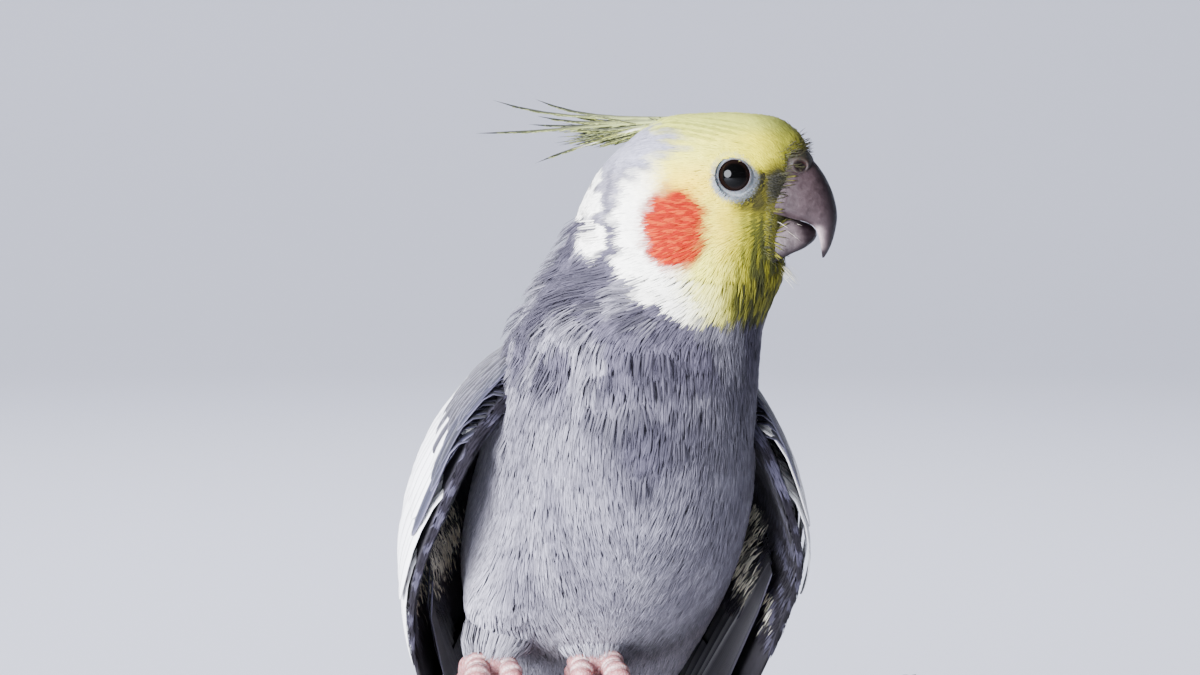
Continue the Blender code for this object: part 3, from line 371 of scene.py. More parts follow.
def plumage(places):
    """The colour of the plumage at these places, as linear red, green and blue."""
    f, l, k = in_head(places)
    f = f - 0.176 * np.abs(l)  # the marks as the camera sees them on the rounded cheek
    fine, broad = mottle(places, 2.2, 3), mottle(places, 7.0, 5)
    ragged = (mottle(places, 1.4, 8) - 0.5) * 1.6
    colour = np.broadcast_to(GREY, places.shape).copy()

    def lay(over, weight):
        weight = np.clip(weight, 0, 1)[:, None]
        colour[:] = colour * (1 - weight) + over * weight

    z, y = places[:, 2], places[:, 1]
    behind = smoothly(y - 0.55 * (55 - z), -4, 14)
    lay(NECK_GREY, smoothly(z, 42, 56))
    lay(PALE_GREY, (0.30 + 0.25 * smoothly(z, 44, 54)) * smoothly(broad, 0.5, 0.8) * (1 - behind))
    lay(SLATE, (0.28 + 0.3 * smoothly(z, 44, 54)) * smoothly(fine, 0.55, 0.85))
    # A dark slate patch on the breast, a little to the bird's left of its middle: partly the breast's own darker
    # mottling, partly painted shade
    middle = np.exp(-(((places[:, 0] - 15) / 10) ** 2) - ((z - 41) / 9) ** 2)
    lay(SLATE, 1.05 * middle * (0.5 + 0.8 * broad) * (1 - behind))
    lay(PALE_GREY, 0.55 * smoothly(-z, -16, -4) * (1 - behind))
    # Painted light: the bird's right flank, in the shadow of the wing, is laid over with a paler grey
    painted_flank_light = smoothly(-5.5 - places[:, 0], 0, 6) * smoothly(z, 2, 10) * (1 - smoothly(z, 44, 52))
    lay(FLANK_PAINTED_LIGHT, 0.4 * painted_flank_light * (1 - behind))
    lay(BACK_GREY, 0.85 * behind * smoothly(-z, -62, -48))
    lay(LILAC, 0.75 * smoothly(k, 2.5, 6.5))
    soft = 0.9 + 2.2 * smoothly(k, 0.5, 4.0)
    wisps = (mottle(np.stack([0.3 * f, l, k - 0.12 * f], -1), 0.9, 22) - 0.5) * 2.6 * smoothly(k, 0.5, 4.0)
    bib = smoothly((f - np.interp(k, BIB_HEIGHTS, BIB_EDGES) + ragged + wisps) / soft, -1.0, 1.0)
    bib *= smoothly(k + 20.2 + ragged, -0.8, 0.8)
    for centre_f, centre_k, wide, high in ((-18.6, -1.0, 2.3, 3.3), (-17.8, -7.2, 2.0, 2.9), (-16.9, 3.6, 1.0, 1.2)):
        spot = ((f - centre_f) / wide) ** 2 + ((k - centre_k) / high) ** 2 + ragged * 0.8
        lay(CREAM, 1 - smoothly(spot, 0.5, 1.5))
    face = np.broadcast_to(CREAM, places.shape).copy()

    def paint(over, weight):
        weight = np.clip(weight, 0, 1)[:, None]
        face[:] = face * (1 - weight) + over * weight

    paint(PALE_YELLOW, smoothly(f + 0.25 * k, -9.5, -3.5))
    paint(YELLOW, smoothly(f + 0.1 * k + ragged, -1.0, 6.5) * (1 - 0.55 * smoothly(-k, 12, 20)))
    paint(GOLD, 0.85 * np.exp(-(((f + 2.2) / 5.5) ** 2) - ((k - 1.6) / 3.4) ** 2))
    paint(GOLD, 0.5 * np.exp(-(((f - 3.2) / 2.6) ** 2) - ((k + 5.0) / 4.6) ** 2))
    paint(PALE_YELLOW, 0.55 * smoothly(k, 5.0, 8.0) * smoothly(-f, -10, -2))
    paint(CROWN_GREEN, 0.8 * smoothly(k, 8.5, 12.0))
    lines = mottle(np.stack([0.12 * f, l, k + 0.1 * f], -1), 0.8, 21)
    paint(CROWN_OLIVE, 0.5 * smoothly(lines, 0.5, 0.85) * smoothly(k, 6.5, 10) * (1 - smoothly(f, 5, 10)))
    streak = smoothly(fine, 0.35, 0.8)
    paint(OLIVE, 0.8 * smoothly(f + 0.35 * k, 10.8, 17.0) * smoothly(k, -1, 4))
    paint(DARK_OLIVE, 0.5 * smoothly(f + 0.2 * k, 16.0, 19.0) * smoothly(k, 0, 5))
    lores = np.exp(-(((f - 12.7) / 2.5) ** 2) - ((k - 1.6) / 3.5) ** 2)
    paint(OLIVE_GREY, np.minimum(1.5 * lores, 0.98) * (0.88 + 0.12 * streak))
    thin = smoothly(mottle(np.stack([f, l, 0.2 * k], -1), 0.75, 23), 0.25, 0.75)
    # The lower front of the face darkens to olive towards the bill: partly the face's own olive feathering, partly
    # painted shade
    low_f = f + 0.3 * np.clip(-k - 6, 0, 10)
    paint(OLIVE, 0.95 * smoothly(low_f + 0.1 * k, 2.6, 8.2) * smoothly(-k, 0, 5) * (0.65 + 0.35 * thin))
    paint(DARK_OLIVE, 0.75 * smoothly(low_f, 5.6, 11.0) * smoothly(-k, 0, 4) * (0.45 + 0.55 * thin))
    paint(OLIVE_GREY, 0.36 * smoothly(f, 0.0, 6.5) * smoothly(-k, 9, 15) * (0.4 + 0.6 * thin))
    paint(CREAM, 0.5 * smoothly(-k, 13, 18) * (1 - smoothly(f, -4, 5)))
    # The dark olive-grey crescent under and in front of the eye: partly the face's own colour, partly painted shade
    from_eye, turn = np.hypot(f - 5.6, k - 3.2), np.degrees(np.arctan2(k - 3.2, f - 5.6))
    to_bill = smoothly(turn, -85, -40)
    beyond = np.maximum(from_eye - 5.0 - 1.1 * to_bill, 0)
    under_eye = np.exp(-((beyond / (1.3 + 0.8 * to_bill)) ** 2))
    under_eye *= smoothly(turn, -112, -70) * (1 - smoothly(turn, -5, 28))
    paint(OLIVE_GREY, 0.94 * under_eye * (0.85 + 0.15 * thin))
    patch = ((f - CHEEK[0]) / CHEEK[2]) ** 2 + ((k - CHEEK[1]) / CHEEK[3]) ** 2
    side = smoothly(np.abs(l), 6, 9)
    paint(ORANGE, (1 - smoothly(patch + ragged * 0.2, 0.55, 1.4)) * side)
    peach = smoothly(mottle(places * np.array([0.8, 0.8, 2.0]), 0.8, 12), 0.5, 0.85)
    paint(PEACH, 0.5 * peach * (1 - smoothly(patch, 0.6, 1.1)) * side)
    lay(face, bib)
    rim = bib * (1 - bib) * 4
    colour *= (1 - 0.12 * rim)[:, None]
    return colour


def coat_depth(places):
    """How deep the coat is: least round the eyes and the bill."""
    f, l, k = in_head(places)
    depth = 0.75 + 0.15 * smoothly(-k, 12, 24)
    near_face = np.exp(-(((f - 13) / 6) ** 2) - ((k + 1) / 9) ** 2)
    return depth * (1 - 0.75 * near_face)


def outward(grid):
    """Unit normals of a grid of points whose columns close round."""
    along = np.gradient(grid, axis=0)
    round_it = np.roll(grid, -1, axis=1) - np.roll(grid, 1, axis=1)
    normal = np.cross(round_it, along)
    length = np.linalg.norm(normal, axis=2, keepdims=True)
    return normal / np.maximum(length, 1e-9)


SKIN_ROWS, SKIN_COLUMNS = 5 * LAST_ROW + 1, 96
EYE_PLACE = (6.8, 3.3)  # forward and up in the head's frame
skin_u = np.linspace(0, LAST_ROW, SKIN_ROWS)
skin_v = np.arange(SKIN_COLUMNS) / SKIN_COLUMNS
grid_u, grid_v = np.meshgrid(skin_u, skin_v, indexing="ij")
grid = body_surface(grid_u.ravel(), grid_v.ravel()).reshape(SKIN_ROWS, SKIN_COLUMNS, 3)
grid_normal = outward(grid)
grid_normal[0], grid_normal[-1] = (0, 0.53, -0.85), (0, 0, 1)


def thigh_swell(places, normals):
    """Moves points of the belly out to the feathered tops of the legs, which melt into it."""
    moved = places.copy()
    for centre, radii in THIGHS:
        away, way = (moved - centre) / radii, normals / np.array(radii)
        a, b, c = (way * way).sum(-1), (away * way).sum(-1), (away * away).sum(-1) - 1
        lift = np.where(c < 0, (np.sqrt(np.maximum(b * b - a * c, 0)) - b) / a, 0.0)
        melted = lift
        for _ in range(20):
            melted = (np.roll(melted, 1, 1) + 2 * melted + np.roll(melted, -1, 1)) / 4
            melted[1:-1] = (melted[:-2] + 2 * melted[1:-1] + melted[2:]) / 4
        moved += normals * (0.12 * lift + 1.5 * melted)[..., None]
    return moved


grid = thigh_swell(grid, grid_normal)
plume_corners, skin_faces = closed_tube(grid)
plume_tree = BVHTree.FromPolygons(plume_corners.tolist(), skin_faces.tolist())
ahead, aside, above = in_head(grid)
socket = 1 - smoothly(np.hypot(ahead - EYE_PLACE[0], above - EYE_PLACE[1]), 2.8, 4.2)
inset = coat_depth(grid.reshape(-1, 3)).reshape(SKIN_ROWS, SKIN_COLUMNS) + 1.8 * socket * (np.abs(aside) > 5)
skin_corners, _ = closed_tube(grid - grid_normal * inset[..., None])
skin_uv = np.stack([grid_v, grid_u / LAST_ROW], -1)[1:-1].reshape(-1, 2)
skin_uv = np.concatenate([skin_uv, [[0.5, 0.0], [0.5, 1.0]]])

feathered_skin, feathered_shader = new_material("feathered_skin", Roughness=0.95)
skin_tint = add(feathered_skin, "ShaderNodeAttribute", {"attribute_name": "tint"}, {}).outputs["Color"]
skin_place = add(feathered_skin, "ShaderNodeTexCoord", {}, {}).outputs["Object"]
down_grain = add(
    feathered_skin, "ShaderNodeTexNoise", {}, {"Vector": skin_place, "Scale": 1400.0, "Detail": 2.0}
).outputs[0]
# Painted shade with a fine grain of down: the skin's colour is multiplied by 0.7 to 0.92 for the gaps between the
# feathers
down_grain_and_painted_shade = ramp(feathered_skin, down_grain, [(0.3, (0.7,) * 3), (0.7, (0.92,) * 3)])
link(
    feathered_skin,
    shade(feathered_skin, skin_tint, 1.0, down_grain_and_painted_shade, "MULTIPLY"),
    feathered_shader.inputs["Base Color"],
)
skin = mesh_piece(
    "skin", skin_corners, skin_faces, feathered_skin,
    ("head", "neck", "torso"), plumage(skin_corners), skin_uv,
)


# The coat: contour feathers over the whole bird. Each body feather is a fan of soft barbs
# that lie together, rooted in the skin in rows from the tail to the neck, the upper over
# the lower. The head's are the shortest and finest. All are closed strands of solid mesh.
STRAND_SHARES = np.array([0.0, 0.34, 0.74, 1.0])  # stations along a strand
STRAND_WIDTHS = np.array([0.0, 1.0, 0.9, 0.0])
SOFT_TURN = np.array([0.45, 0.0, -0.45])  # how far a strand's sides turn from the light
EYE_RADIUS, EYE_OPENING = 3.5, 2.62


def plume_surface(u, v):
    """The plumage's surface with the thighs on it, read off the skin's grid."""
    row, column = np.clip(u * 5, 0, SKIN_ROWS - 1.001), v % 1 * SKIN_COLUMNS
    i, j = row.astype(int), column.astype(int) % SKIN_COLUMNS
    down, over = (row - i)[:, None], (column - np.floor(column))[:, None]
    after = (j + 1) % SKIN_COLUMNS
    first = grid[i, j] * (1 - over) + grid[i, after] * over
    return first * (1 - down) + (grid[i + 1, j] * (1 - over) + grid[i + 1, after] * over) * down


def feather_roots(low, high, row_gap, across_gap, draw, jitter=0.25):
    """Roots in staggered rows between two slices, as u and v, a set distance apart."""
    steps = np.linspace(low, high, 161)
    turns = np.arange(64) / 64
    rings = np.array([plume_surface(np.full(64, u), turns) for u in steps])
    gaps = np.percentile(np.linalg.norm(np.diff(rings, axis=0), axis=2), 70, axis=1)
    run = np.concatenate([[0], np.cumsum(gaps)])
    found_u, found_v = [], []
    for row, reach in enumerate(np.arange(0, run[-1], row_gap)):
        u = np.interp(reach, run, steps)
        turns = np.arange(193) / 192
        ring = plume_surface(np.full(193, u), turns)
        around = np.concatenate([[0], np.cumsum(np.linalg.norm(np.diff(ring, axis=0), axis=1))])
        count = max(3, round(around[-1] / across_gap))
        places = (np.arange(count) + 0.5 * (row % 2) + draw.uniform(-jitter, jitter, count)) / count % 1
        found_v.append(np.interp(places * around[-1], around, turns))
        along = np.interp(reach + draw.uniform(-jitter, jitter, count) * row_gap, run, steps)
        found_u.append(along)
    return np.concatenate(found_u), np.concatenate(found_v)


def lie_of_coat(places, u, v):
    """The way the feathers point: back from the bill, down the neck and towards the tail."""
    f, l, k = in_head(places)
    tailward = plume_surface(np.maximum(u - 0.2, 0), v) - plume_surface(u, v)
    tailward /= np.maximum(np.linalg.norm(tailward, axis=1, keepdims=True), 1e-9)
    aside = places[:, 0] - BODY_MID_X
    belly = smoothly(-places[:, 1] - 0.2 * places[:, 2], -8, 6) * smoothly(55 - places[:, 2], 0, 30)
    tailward[:, 0] -= 0.5 * belly * np.tanh(aside / 5)
    down = 0.10 + 0.9 * smoothly(-k, 2, 13) * (0.45 + 0.55 * smoothly(f, -4, 5))
    down = np.maximum(down, smoothly(-f, 12, 19))
    down = down - 0.9 * smoothly(f, 9, 15) * smoothly(k, -1, 5)
    back = 1 - 0.8 * smoothly(f, 1, 9) * smoothly(-k, 4, 12)
    headward = -np.multiply.outer(back, HEAD_FORWARD) - np.multiply.outer(down, UP)
    near_eye = np.exp(-(((f - EYE_PLACE[0] - 4) / 3.5) ** 2) - ((k - EYE_PLACE[1]) / 3.5) ** 2)
    headward += np.multiply.outer(near_eye * 1.0 * np.tanh((k - EYE_PLACE[1]) / 1.5), UP)
    share = smoothly(k, -21, -13)[:, None]
    return tailward * (1 - share) + headward * share


def follow(roots, ways, lengths, shares, tree=plume_tree):
    """Paths that run over the plumage from each root, with its normals on the way."""
    paths = np.empty((len(roots), len(shares), 3))
    normals = np.empty_like(paths)
    for n in range(len(roots)):
        spot, normal, _, _ = tree.find_nearest(Vector(roots[n]))
        way, gone = Vector(ways[n]), 0.0
        for i, share in enumerate(shares):
            way = (way - normal * way.dot(normal)).normalized()
            spot, normal, _, _ = tree.find_nearest(spot + way * (lengths[n] * share - gone))
            gone = lengths[n] * share
            paths[n, i], normals[n, i] = spot, normal
    return paths, normals


def strands(paths, normals, widths, heights, tints, maps, ridge=1.12):
    """Three-sided closed strands along paths; tints is strands x stations x 3."""
    count, stations = paths.shape[:2]
    tangents = np.gradient(paths, axis=1)
    sides = np.cross(tangents, normals)
    sides /= np.maximum(np.linalg.norm(sides, axis=2, keepdims=True), 1e-9)
    lit = normals[:, 1:-1, None] + sides[:, 1:-1, None] * SOFT_TURN[:, None]
    lit = np.concatenate([normals[:, :1], lit.reshape(count, -1, 3), normals[:, -1:]], axis=1)
    lit = lit / np.maximum(np.linalg.norm(lit, axis=2, keepdims=True), 1e-9)
    inner = slice(1, stations - 1)
    wide = sides[:, inner] * widths[:, inner, None]
    high = normals[:, inner] * heights[:, inner, None]
    middle = paths[:, inner]
    rings = np.stack([middle + wide, middle + high, middle - wide], axis=2)
    corners = np.concatenate([paths[:, :1], rings.reshape(count, -1, 3), paths[:, -1:]], axis=1)
    # The ridge corner of each ring is tinted by ridge and the side corners by 0.94: a lighter ridge is a painted
    # highlight along the strand's top, and the crest's shafts take a darker one
    shades = np.repeat(tints[:, inner, None], 3, axis=2) * np.array([0.94, ridge, 0.94])[:, None]
    shades = np.concatenate([tints[:, :1], shades.reshape(count, -1, 3), tints[:, -1:]], axis=1)
    last = 3 * (stations - 3) + 1
    tip = last + 3
    faces = [(0, 1, 2), (0, 2, 3), (0, 3, 1)]
    for a in range(1, last, 3):
        for j, k in ((0, 1), (1, 2), (2, 0)):
            faces += [(a + j, a + 3 + j, a + 3 + k), (a + j, a + 3 + k, a + k)]
    faces += [(last, tip, last + 1), (last + 1, tip, last + 2), (last + 2, tip, last)]
    faces = np.array(faces)[None] + (np.arange(count) * (tip + 1))[:, None, None]
    across = np.concatenate([[0], np.tile([1, 0, -1], stations - 2), [0]]) * 0.0013
    along = np.concatenate([[0], np.repeat(np.arange(1, stations - 1), 3), [stations - 1]])
    along = along / (stations - 1) * 0.003
    local = np.stack([across, along], -1)
    bake = np.clip(maps[:, None] + local[None], 0, 1)
    faces = faces.reshape(-1, 3)
    return corners.reshape(-1, 3), faces, shades.reshape(-1, 3), bake.reshape(-1, 2), lit.reshape(-1, 3)


barb, barb_shader = new_material("soft_feather_barbs", Roughness=0.78)
barb_shader.inputs["Sheen Weight"].default_value = 0.06
barb_shader.inputs["Sheen Roughness"].default_value = 0.5
barb_shader.inputs["Specular IOR Level"].default_value = 0.12
barb_tint = add(barb, "ShaderNodeAttribute", {"attribute_name": "tint"}, {}).outputs["Color"]
barb_place = add(barb, "ShaderNodeTexCoord", {}, {}).outputs["Object"]
barb_grain = add(
    barb, "ShaderNodeTexNoise", {}, {"Vector": barb_place, "Scale": 900.0, "Detail": 1.0}
).outputs[0]
barb_shade = ramp(barb, barb_grain, [(0.3, (0.86,) * 3), (0.7, (1.0,) * 3)])
link(barb, shade(barb, barb_tint, 1.0, barb_shade, "MULTIPLY"), barb_shader.inputs["Base Color"])


def lay_coat(name, low, high, row_gap, across_gap, length, fan, width, nodes, keep, middles, ruffled):
    """Feathers over a stretch of the skin, each a fan of this many strands. middles is how
    dark a feather's middle is, and ruffled the share of feathers that stand out, dark-tipped."""
    draw = np.random.default_rng(sum(map(ord, name)))
    u, v = feather_roots(low, high, row_gap, across_gap, draw)
    places = plume_surface(u, v)
    kept = keep(places)
    u, v, places = u[kept], v[kept], places[kept]
    ways = lie_of_coat(places, u, v)
    ways /= np.maximum(np.linalg.norm(ways, axis=1, keepdims=True), 1e-9)
    ahead = np.cross(plume_surface(u, v + 0.002) - places, plume_surface(u + 0.01, v) - places)
    ahead /= np.maximum(np.linalg.norm(ahead, axis=1, keepdims=True), 1e-9)
    aside = np.cross(ways, ahead)
    count = len(u)
    nape = smoothly(4 - in_head(places)[0], 0, 14)
    loose = (draw.random(count) < ruffled * nape) * draw.uniform(0.35, 1.0, count)
    size = (1 + draw.normal(0, 0.10, count) + 0.12 * loose) * coat_length(places)
    lift = draw.normal(0, 0.06, count) + 1.9 * loose
    tone = 1 + draw.normal(0, 0.06, count)
    clump = draw.normal(0.03, 0.09, count)
    each = np.repeat(np.arange(count), fan)
    n = len(each)
    slot = np.tile(np.linspace(-1, 1, fan) if fan > 1 else np.zeros(1), count) + draw.normal(0, 0.10, n)
    roots = places[each] + aside[each] * (slot * across_gap * 0.70)[:, None]
    roots += ways[each] * draw.uniform(-0.3, 0.3, n)[:, None] * row_gap
    splay = slot * clump[each] + draw.normal(0, 0.06, n)
    headings = ways[each] + aside[each] * splay[:, None]
    lengths = length * size[each] * (1 - 0.16 * slot**2) * (1 + draw.normal(0, 0.07, n))
    paths, normals = follow(roots, headings, lengths, STRAND_SHARES)
    depth = coat_depth(paths[:, 0])
    rise = np.array([-1.0, -0.28, -0.02, 0.0])
    heights = rise[None] * depth[:, None] * 1.15 + lift[each][:, None] * np.array([0, 0.35, 0.9, 1.15])
    heights = heights + draw.normal(0, 0.025, (n, 1)) * np.array([0, 0.6, 1, 1])
    paths = paths + normals * heights[..., None]
    thick = width * 0.24 * STRAND_WIDTHS[None] * np.ones((n, 1))
    wide = width * STRAND_WIDTHS[None] * (1 + draw.normal(0, 0.12, n))[:, None] / 2
    colour = plumage(paths[:, 1] * 0.3 + paths[:, 2] * 0.7)
    quiet = 1 - 0.75 * smoothly(colour.max(1), 0.3, 0.6)
    dark_middle = 1 - quiet * middles * np.exp(-((slot / 0.5) ** 2))
    uneven = quiet * draw.normal(0, 0.08 if fan == 1 else 0.18, n)
    colour *= (tone[each] ** quiet * dark_middle * (1 + uneven))[:, None]
    # Each strand darkens towards its root as painted shade under the feathers that overlap it, and a loose one darkens
    # towards its tip
    fade = np.array([0.80, 0.90, 1.0, 1.06])[None] - 0.5 * loose[each][:, None] * np.array([0, 0, 0.7, 1.0])
    tints = np.clip(colour[:, None] * fade[..., None], 0, 1)
    maps = np.stack([v[each], u[each] / LAST_ROW], -1)
    corners, faces, shades, bake, lit = strands(paths, normals, wide, thick, tints, maps, 1.06)
    return mesh_piece(name, corners, faces, barb, nodes, shades, bake, soft=lit)


def coat_length(places):
    """How long feathers are for their tract: shortest round the eyes and the bill."""
    f, l, k = in_head(places)
    eye = np.hypot(f - EYE_PLACE[0], k - EYE_PLACE[1])
    short = np.minimum(0.42 + 0.58 * smoothly(eye, 3.5, 9.0), 1 - 0.5 * smoothly(f, 7.0, 14.0))
    return np.where(k > -14, np.where(np.abs(l) < 4, 1 - 0.5 * smoothly(f, 8.0, 15.0), short), 1.0)


RING_TURNS = [-180, -135, -90, -45, 0, 45, 90, 135, 180]  # degrees round the eye, 0 to the bill
RING_EDGES = [3.3, 3.6, 3.9, 4.5, 4.1, 3.3, 2.85, 2.9, 3.3]


def clear_of_face(places):
    """True where feathers grow: not on the bare eye ring, the cere or under the bill."""
    f, l, k = in_head(places)
    turn = np.degrees(np.arctan2(k - EYE_PLACE[1], f - EYE_PLACE[0]))
    uneven = 0.55 * (mottle(places, 0.8, 14) - 0.5)
    eye = np.hypot(f - EYE_PLACE[0], k - EYE_PLACE[1]) > np.interp(turn, RING_TURNS, RING_EDGES) + uneven
    bill = ~((np.abs(l) < 4.6) & (f > 10.5) & (k > -10.5) & (k < 6.3))
    return (eye | (np.abs(l) < 5)) & bill


def on_body(places):
    return np.ones(len(places), bool)


def on_nape(places):
    f, l, k = in_head(places)
    return f - 0.176 * np.abs(l) < np.interp(k, BIB_HEIGHTS, BIB_EDGES) - 1.0


# name, first and last slice, rows apart, feathers apart, length, strands, width, dark middle, ruffled
COAT = [
    ("coat_rump", 0.35, 4.0, 2.2, 2.6, 7.0, 13, 0.32, ("tail", "torso"), on_body, 0.15, 0.02),
    ("coat_vent", 4.0, 6.2, 1.9, 2.6, 5.8, 15, 0.30, ("torso",), on_body, 0.06, 0.0),
    ("coat_belly", 6.2, 8.0, 1.9, 2.6, 5.6, 15, 0.30, ("torso",), on_body, 0.06, 0.0),
    ("coat_breast", 8.0, 10.0, 1.9, 2.6, 5.4, 15, 0.30, ("torso",), on_body, 0.08, 0.0),
    ("coat_shoulders", 10.0, 12.2, 1.8, 2.6, 5.2, 14, 0.31, ("torso", "neck"), on_body, 0.26, 0.16),
    ("coat_neck", 12.2, 13.7, 1.7, 2.4, 4.8, 14, 0.31, ("neck", "head"), on_body, 0.36, 0.26),
    ("coat_nape", 13.7, 15.6, 1.9, 2.6, 4.2, 13, 0.28, ("head",), on_nape, 0.25, 0.38),
    ("coat_throat", 13.6, 15.6, 0.30, 0.26, 3.3, 1, 0.24, ("head",), clear_of_face, 0.0, 0.0),
    ("coat_cheeks", 15.6, 18.0, 0.30, 0.26, 2.9, 1, 0.24, ("head",), clear_of_face, 0.0, 0.0),
    ("coat_crown", 18.0, LAST_ROW - 0.12, 0.32, 0.27, 2.9, 1, 0.24, ("head",), clear_of_face, 0.0, 0.0),
]
for tract in COAT:
    lay_coat(*tract)

# The wings: folded and a little dropped. Each is an arm and hand in thin skin, tiled with
# vanes in tiers, from the long primaries under the rest to the small coverts of the bend.
# The outer webs of the coverts are white, which makes the long bar along the wing's edge.
LEADING = np.array([
    (16.5, -12.5, 52.0), (23.2, -17.2, 43.0), (28.8, -15.5, 30.0), (32.0, -8.0, 18.5),
    (31.0, 3.0, 7.0), (27.0, 15.0, -8.0), (19.0, 33.0, -32.0), (11.5, 54.0, -58.0),
    (7.0, 72.0, -83.0),
])
BACK = np.array([
    (14.5, 2.0, 55.0), (15.2, 12.4, 51.8), (14.2, 21.6, 46.2), (12.0, 30.4, 39.0),
    (9.8, 39.0, 27.8), (7.8, 47.6, 12.8), (6.2, 56.4, -7.5), (5.6, 66.0, -38.0),
    (5.2, 80.0, -78.0),
])
WING_BULGE = np.array([0.8, 2.6, 5.8, 7.4, 6.8, 5.0, 2.8, 1.4, 0.5])
RIGHT_SPREAD = np.array([0.5, 2.4, 2.6, 2.6, 3.6, 3.6, 2.4, 1.0, 0.3])


def curve(points, t):
    """Places on a smooth curve through rows of numbers, at shares t of its length."""
    last = len(points) - 1
    span = np.clip((t * last).astype(int), 0, last - 1)
    picks = [points[np.clip(span + k, 0, last)] for k in (-1, 0, 1, 2)]
    return catmull(*picks, (t * last - span)[:, None])


def wing_sheet(side, s, q):
    """The folded wing's sheet before it is mirrored; s runs to the tip, q to the back."""
    held_out = np.zeros((9, 3))
    if side < 0:
        held_out[:, 0] = RIGHT_SPREAD
    lead, back = curve(LEADING + held_out, s), curve(BACK + held_out * 0.5, s)
    ahead, behind = np.maximum(s - 0.02, 0), np.minimum(s + 0.02, 1)
    flow = curve(LEADING + held_out, behind) - curve(LEADING + held_out, ahead)
    out = np.cross(flow, back - lead)
    out *= (np.sign(out[:, 0]) / np.linalg.norm(out, axis=1))[:, None]
    arch = np.sin(np.pi * np.clip(q, 0, 1))[:, None] * curve(WING_BULGE[:, None], s)
    return lead + (back - lead) * q[:, None] + out * arch


def wing_frame(side, s, q):
    """Places on the sheet, the ways to the tip and to the back, and the outward normals."""
    step = 0.02
    s, q = np.clip(s, 0, 1), np.asarray(q)
    here = wing_sheet(side, s, q)
    flow = wing_sheet(side, np.minimum(s + step, 1), q) - wing_sheet(side, np.maximum(s - step, 0), q)
    across = wing_sheet(side, s, q + step) - wing_sheet(side, s, q - step)
    normal = np.cross(flow, across)
    normal *= np.sign(normal[:, :1])
    found = []
    for way in (flow, across, normal):
        way = way / np.linalg.norm(way, axis=1, keepdims=True)
        found.append(way * (side, 1, 1))
    return here * (side, 1, 1) + (BODY_MID_X, 0, 0), *found


VANE_STATIONS = np.array([0.0, 0.14, 0.32, 0.5, 0.66, 0.78, 0.87, 0.94, 0.98, 1.0])
VANE_COLUMNS = np.linspace(-1, 1, 7)


def vane_outline(blunt, root=0.4, tip=0.1):
    """Half-widths from root to tip as shares of the widest; a blunt feather keeps its width."""
    t = VANE_STATIONS
    body = root + (1 - root) * np.sin(np.minimum(t / 0.42, 1.0) * np.pi / 2)
    end = np.clip((t - blunt) / (1 - blunt), 0, 1)
    return np.maximum(tip, body * np.sqrt(np.maximum(1 - end**2.2, 0)))


def vanes(paths, sides, normals, half_widths, camber, thickness, tints, under, draw):
    """Closed vanes: feathers x stations x 7 columns over and under, with their two maps."""
    n, stations = paths.shape[:2]
    columns = len(VANE_COLUMNS)
    ragged = 1 + draw.normal(0, 0.03, (n, stations, 2))
    spread = np.where(VANE_COLUMNS < 0, ragged[..., :1], ragged[..., 1:]) * VANE_COLUMNS
    wide = half_widths[..., None] * spread
    high = camber * half_widths[..., None] * (1 - VANE_COLUMNS**2)
    top = paths[:, :, None] + sides[:, :, None] * wide[..., None] + normals[:, :, None] * high[..., None]
    deep = thickness * (1 - 0.55 * np.abs(VANE_COLUMNS))[:, None] * np.ones((stations, 1, 1))
    bottom = top - normals[:, :, None] * deep[None]
    corners = np.concatenate([top.reshape(n, -1, 3), bottom.reshape(n, -1, 3)], axis=1)
    shades = np.concatenate([tints.reshape(n, -1, 3), under.reshape(n, -1, 3)], axis=1)
    half = stations * columns
    faces = []
    for i in range(stations - 1):
        for j in range(columns - 1):
            a, b = i * columns + j, i * columns + j + 1
            c, d = b + columns, a + columns
            faces += [(a, b, c), (a, c, d), (half + a, half + c, half + b), (half + a, half + d, half + c)]
    rim = [(0, j) for j in range(columns)] + [(i, columns - 1) for i in range(1, stations)]
    rim += [(stations - 1, j) for j in range(columns - 2, -1, -1)]
    rim += [(i, 0) for i in range(stations - 2, 0, -1)]
    for (i, j), (k, m) in zip(rim, rim[1:] + rim[:1]):
        a, b = i * columns + j, k * columns + m
        faces += [(b, a, half + a), (b, half + a, half + b)]
    faces = np.array(faces)
    if volume(corners[0], faces) < 0:
        faces = faces[:, ::-1]
    faces = (faces[None] + (np.arange(n) * 2 * half)[:, None, None]).reshape(-1, 3)
    run = np.concatenate([[0], np.cumsum(np.linalg.norm(np.diff(paths.mean(0), axis=0), axis=1))])
    stripes = np.stack([wide, np.broadcast_to(run[None, :, None], wide.shape)], -1)
    stripes = np.concatenate([stripes.reshape(n, -1, 2)] * 2, axis=1)
    cells = math.ceil(math.sqrt(n))
    local_x = np.broadcast_to((VANE_COLUMNS + 1) / 4.4, (stations, columns))
    local_y = np.broadcast_to((run / run[-1])[:, None] * 0.92, (stations, columns))
    local = np.stack([local_x, local_y], -1).reshape(-1, 2)
    local = np.concatenate([local, local + (0.5, 0)])
    cell = np.stack([np.arange(n) % cells, np.arange(n) // cells], -1)
    bake = (cell[:, None] + local[None] + 0.03) / cells
    return corners.reshape(-1, 3), faces, shades.reshape(-1, 3), bake.reshape(-1, 2), stripes.reshape(-1, 2)


def joined(parts):
    """Several sets of corners, faces and maps as one."""
    found, offset = [[] for _ in parts[0]], 0
    for part in parts:
        for k, values in enumerate(part):
            found[k].append(values + offset if k == 1 else values)
        offset += len(part[0])
    return [np.concatenate(values) for values in found]


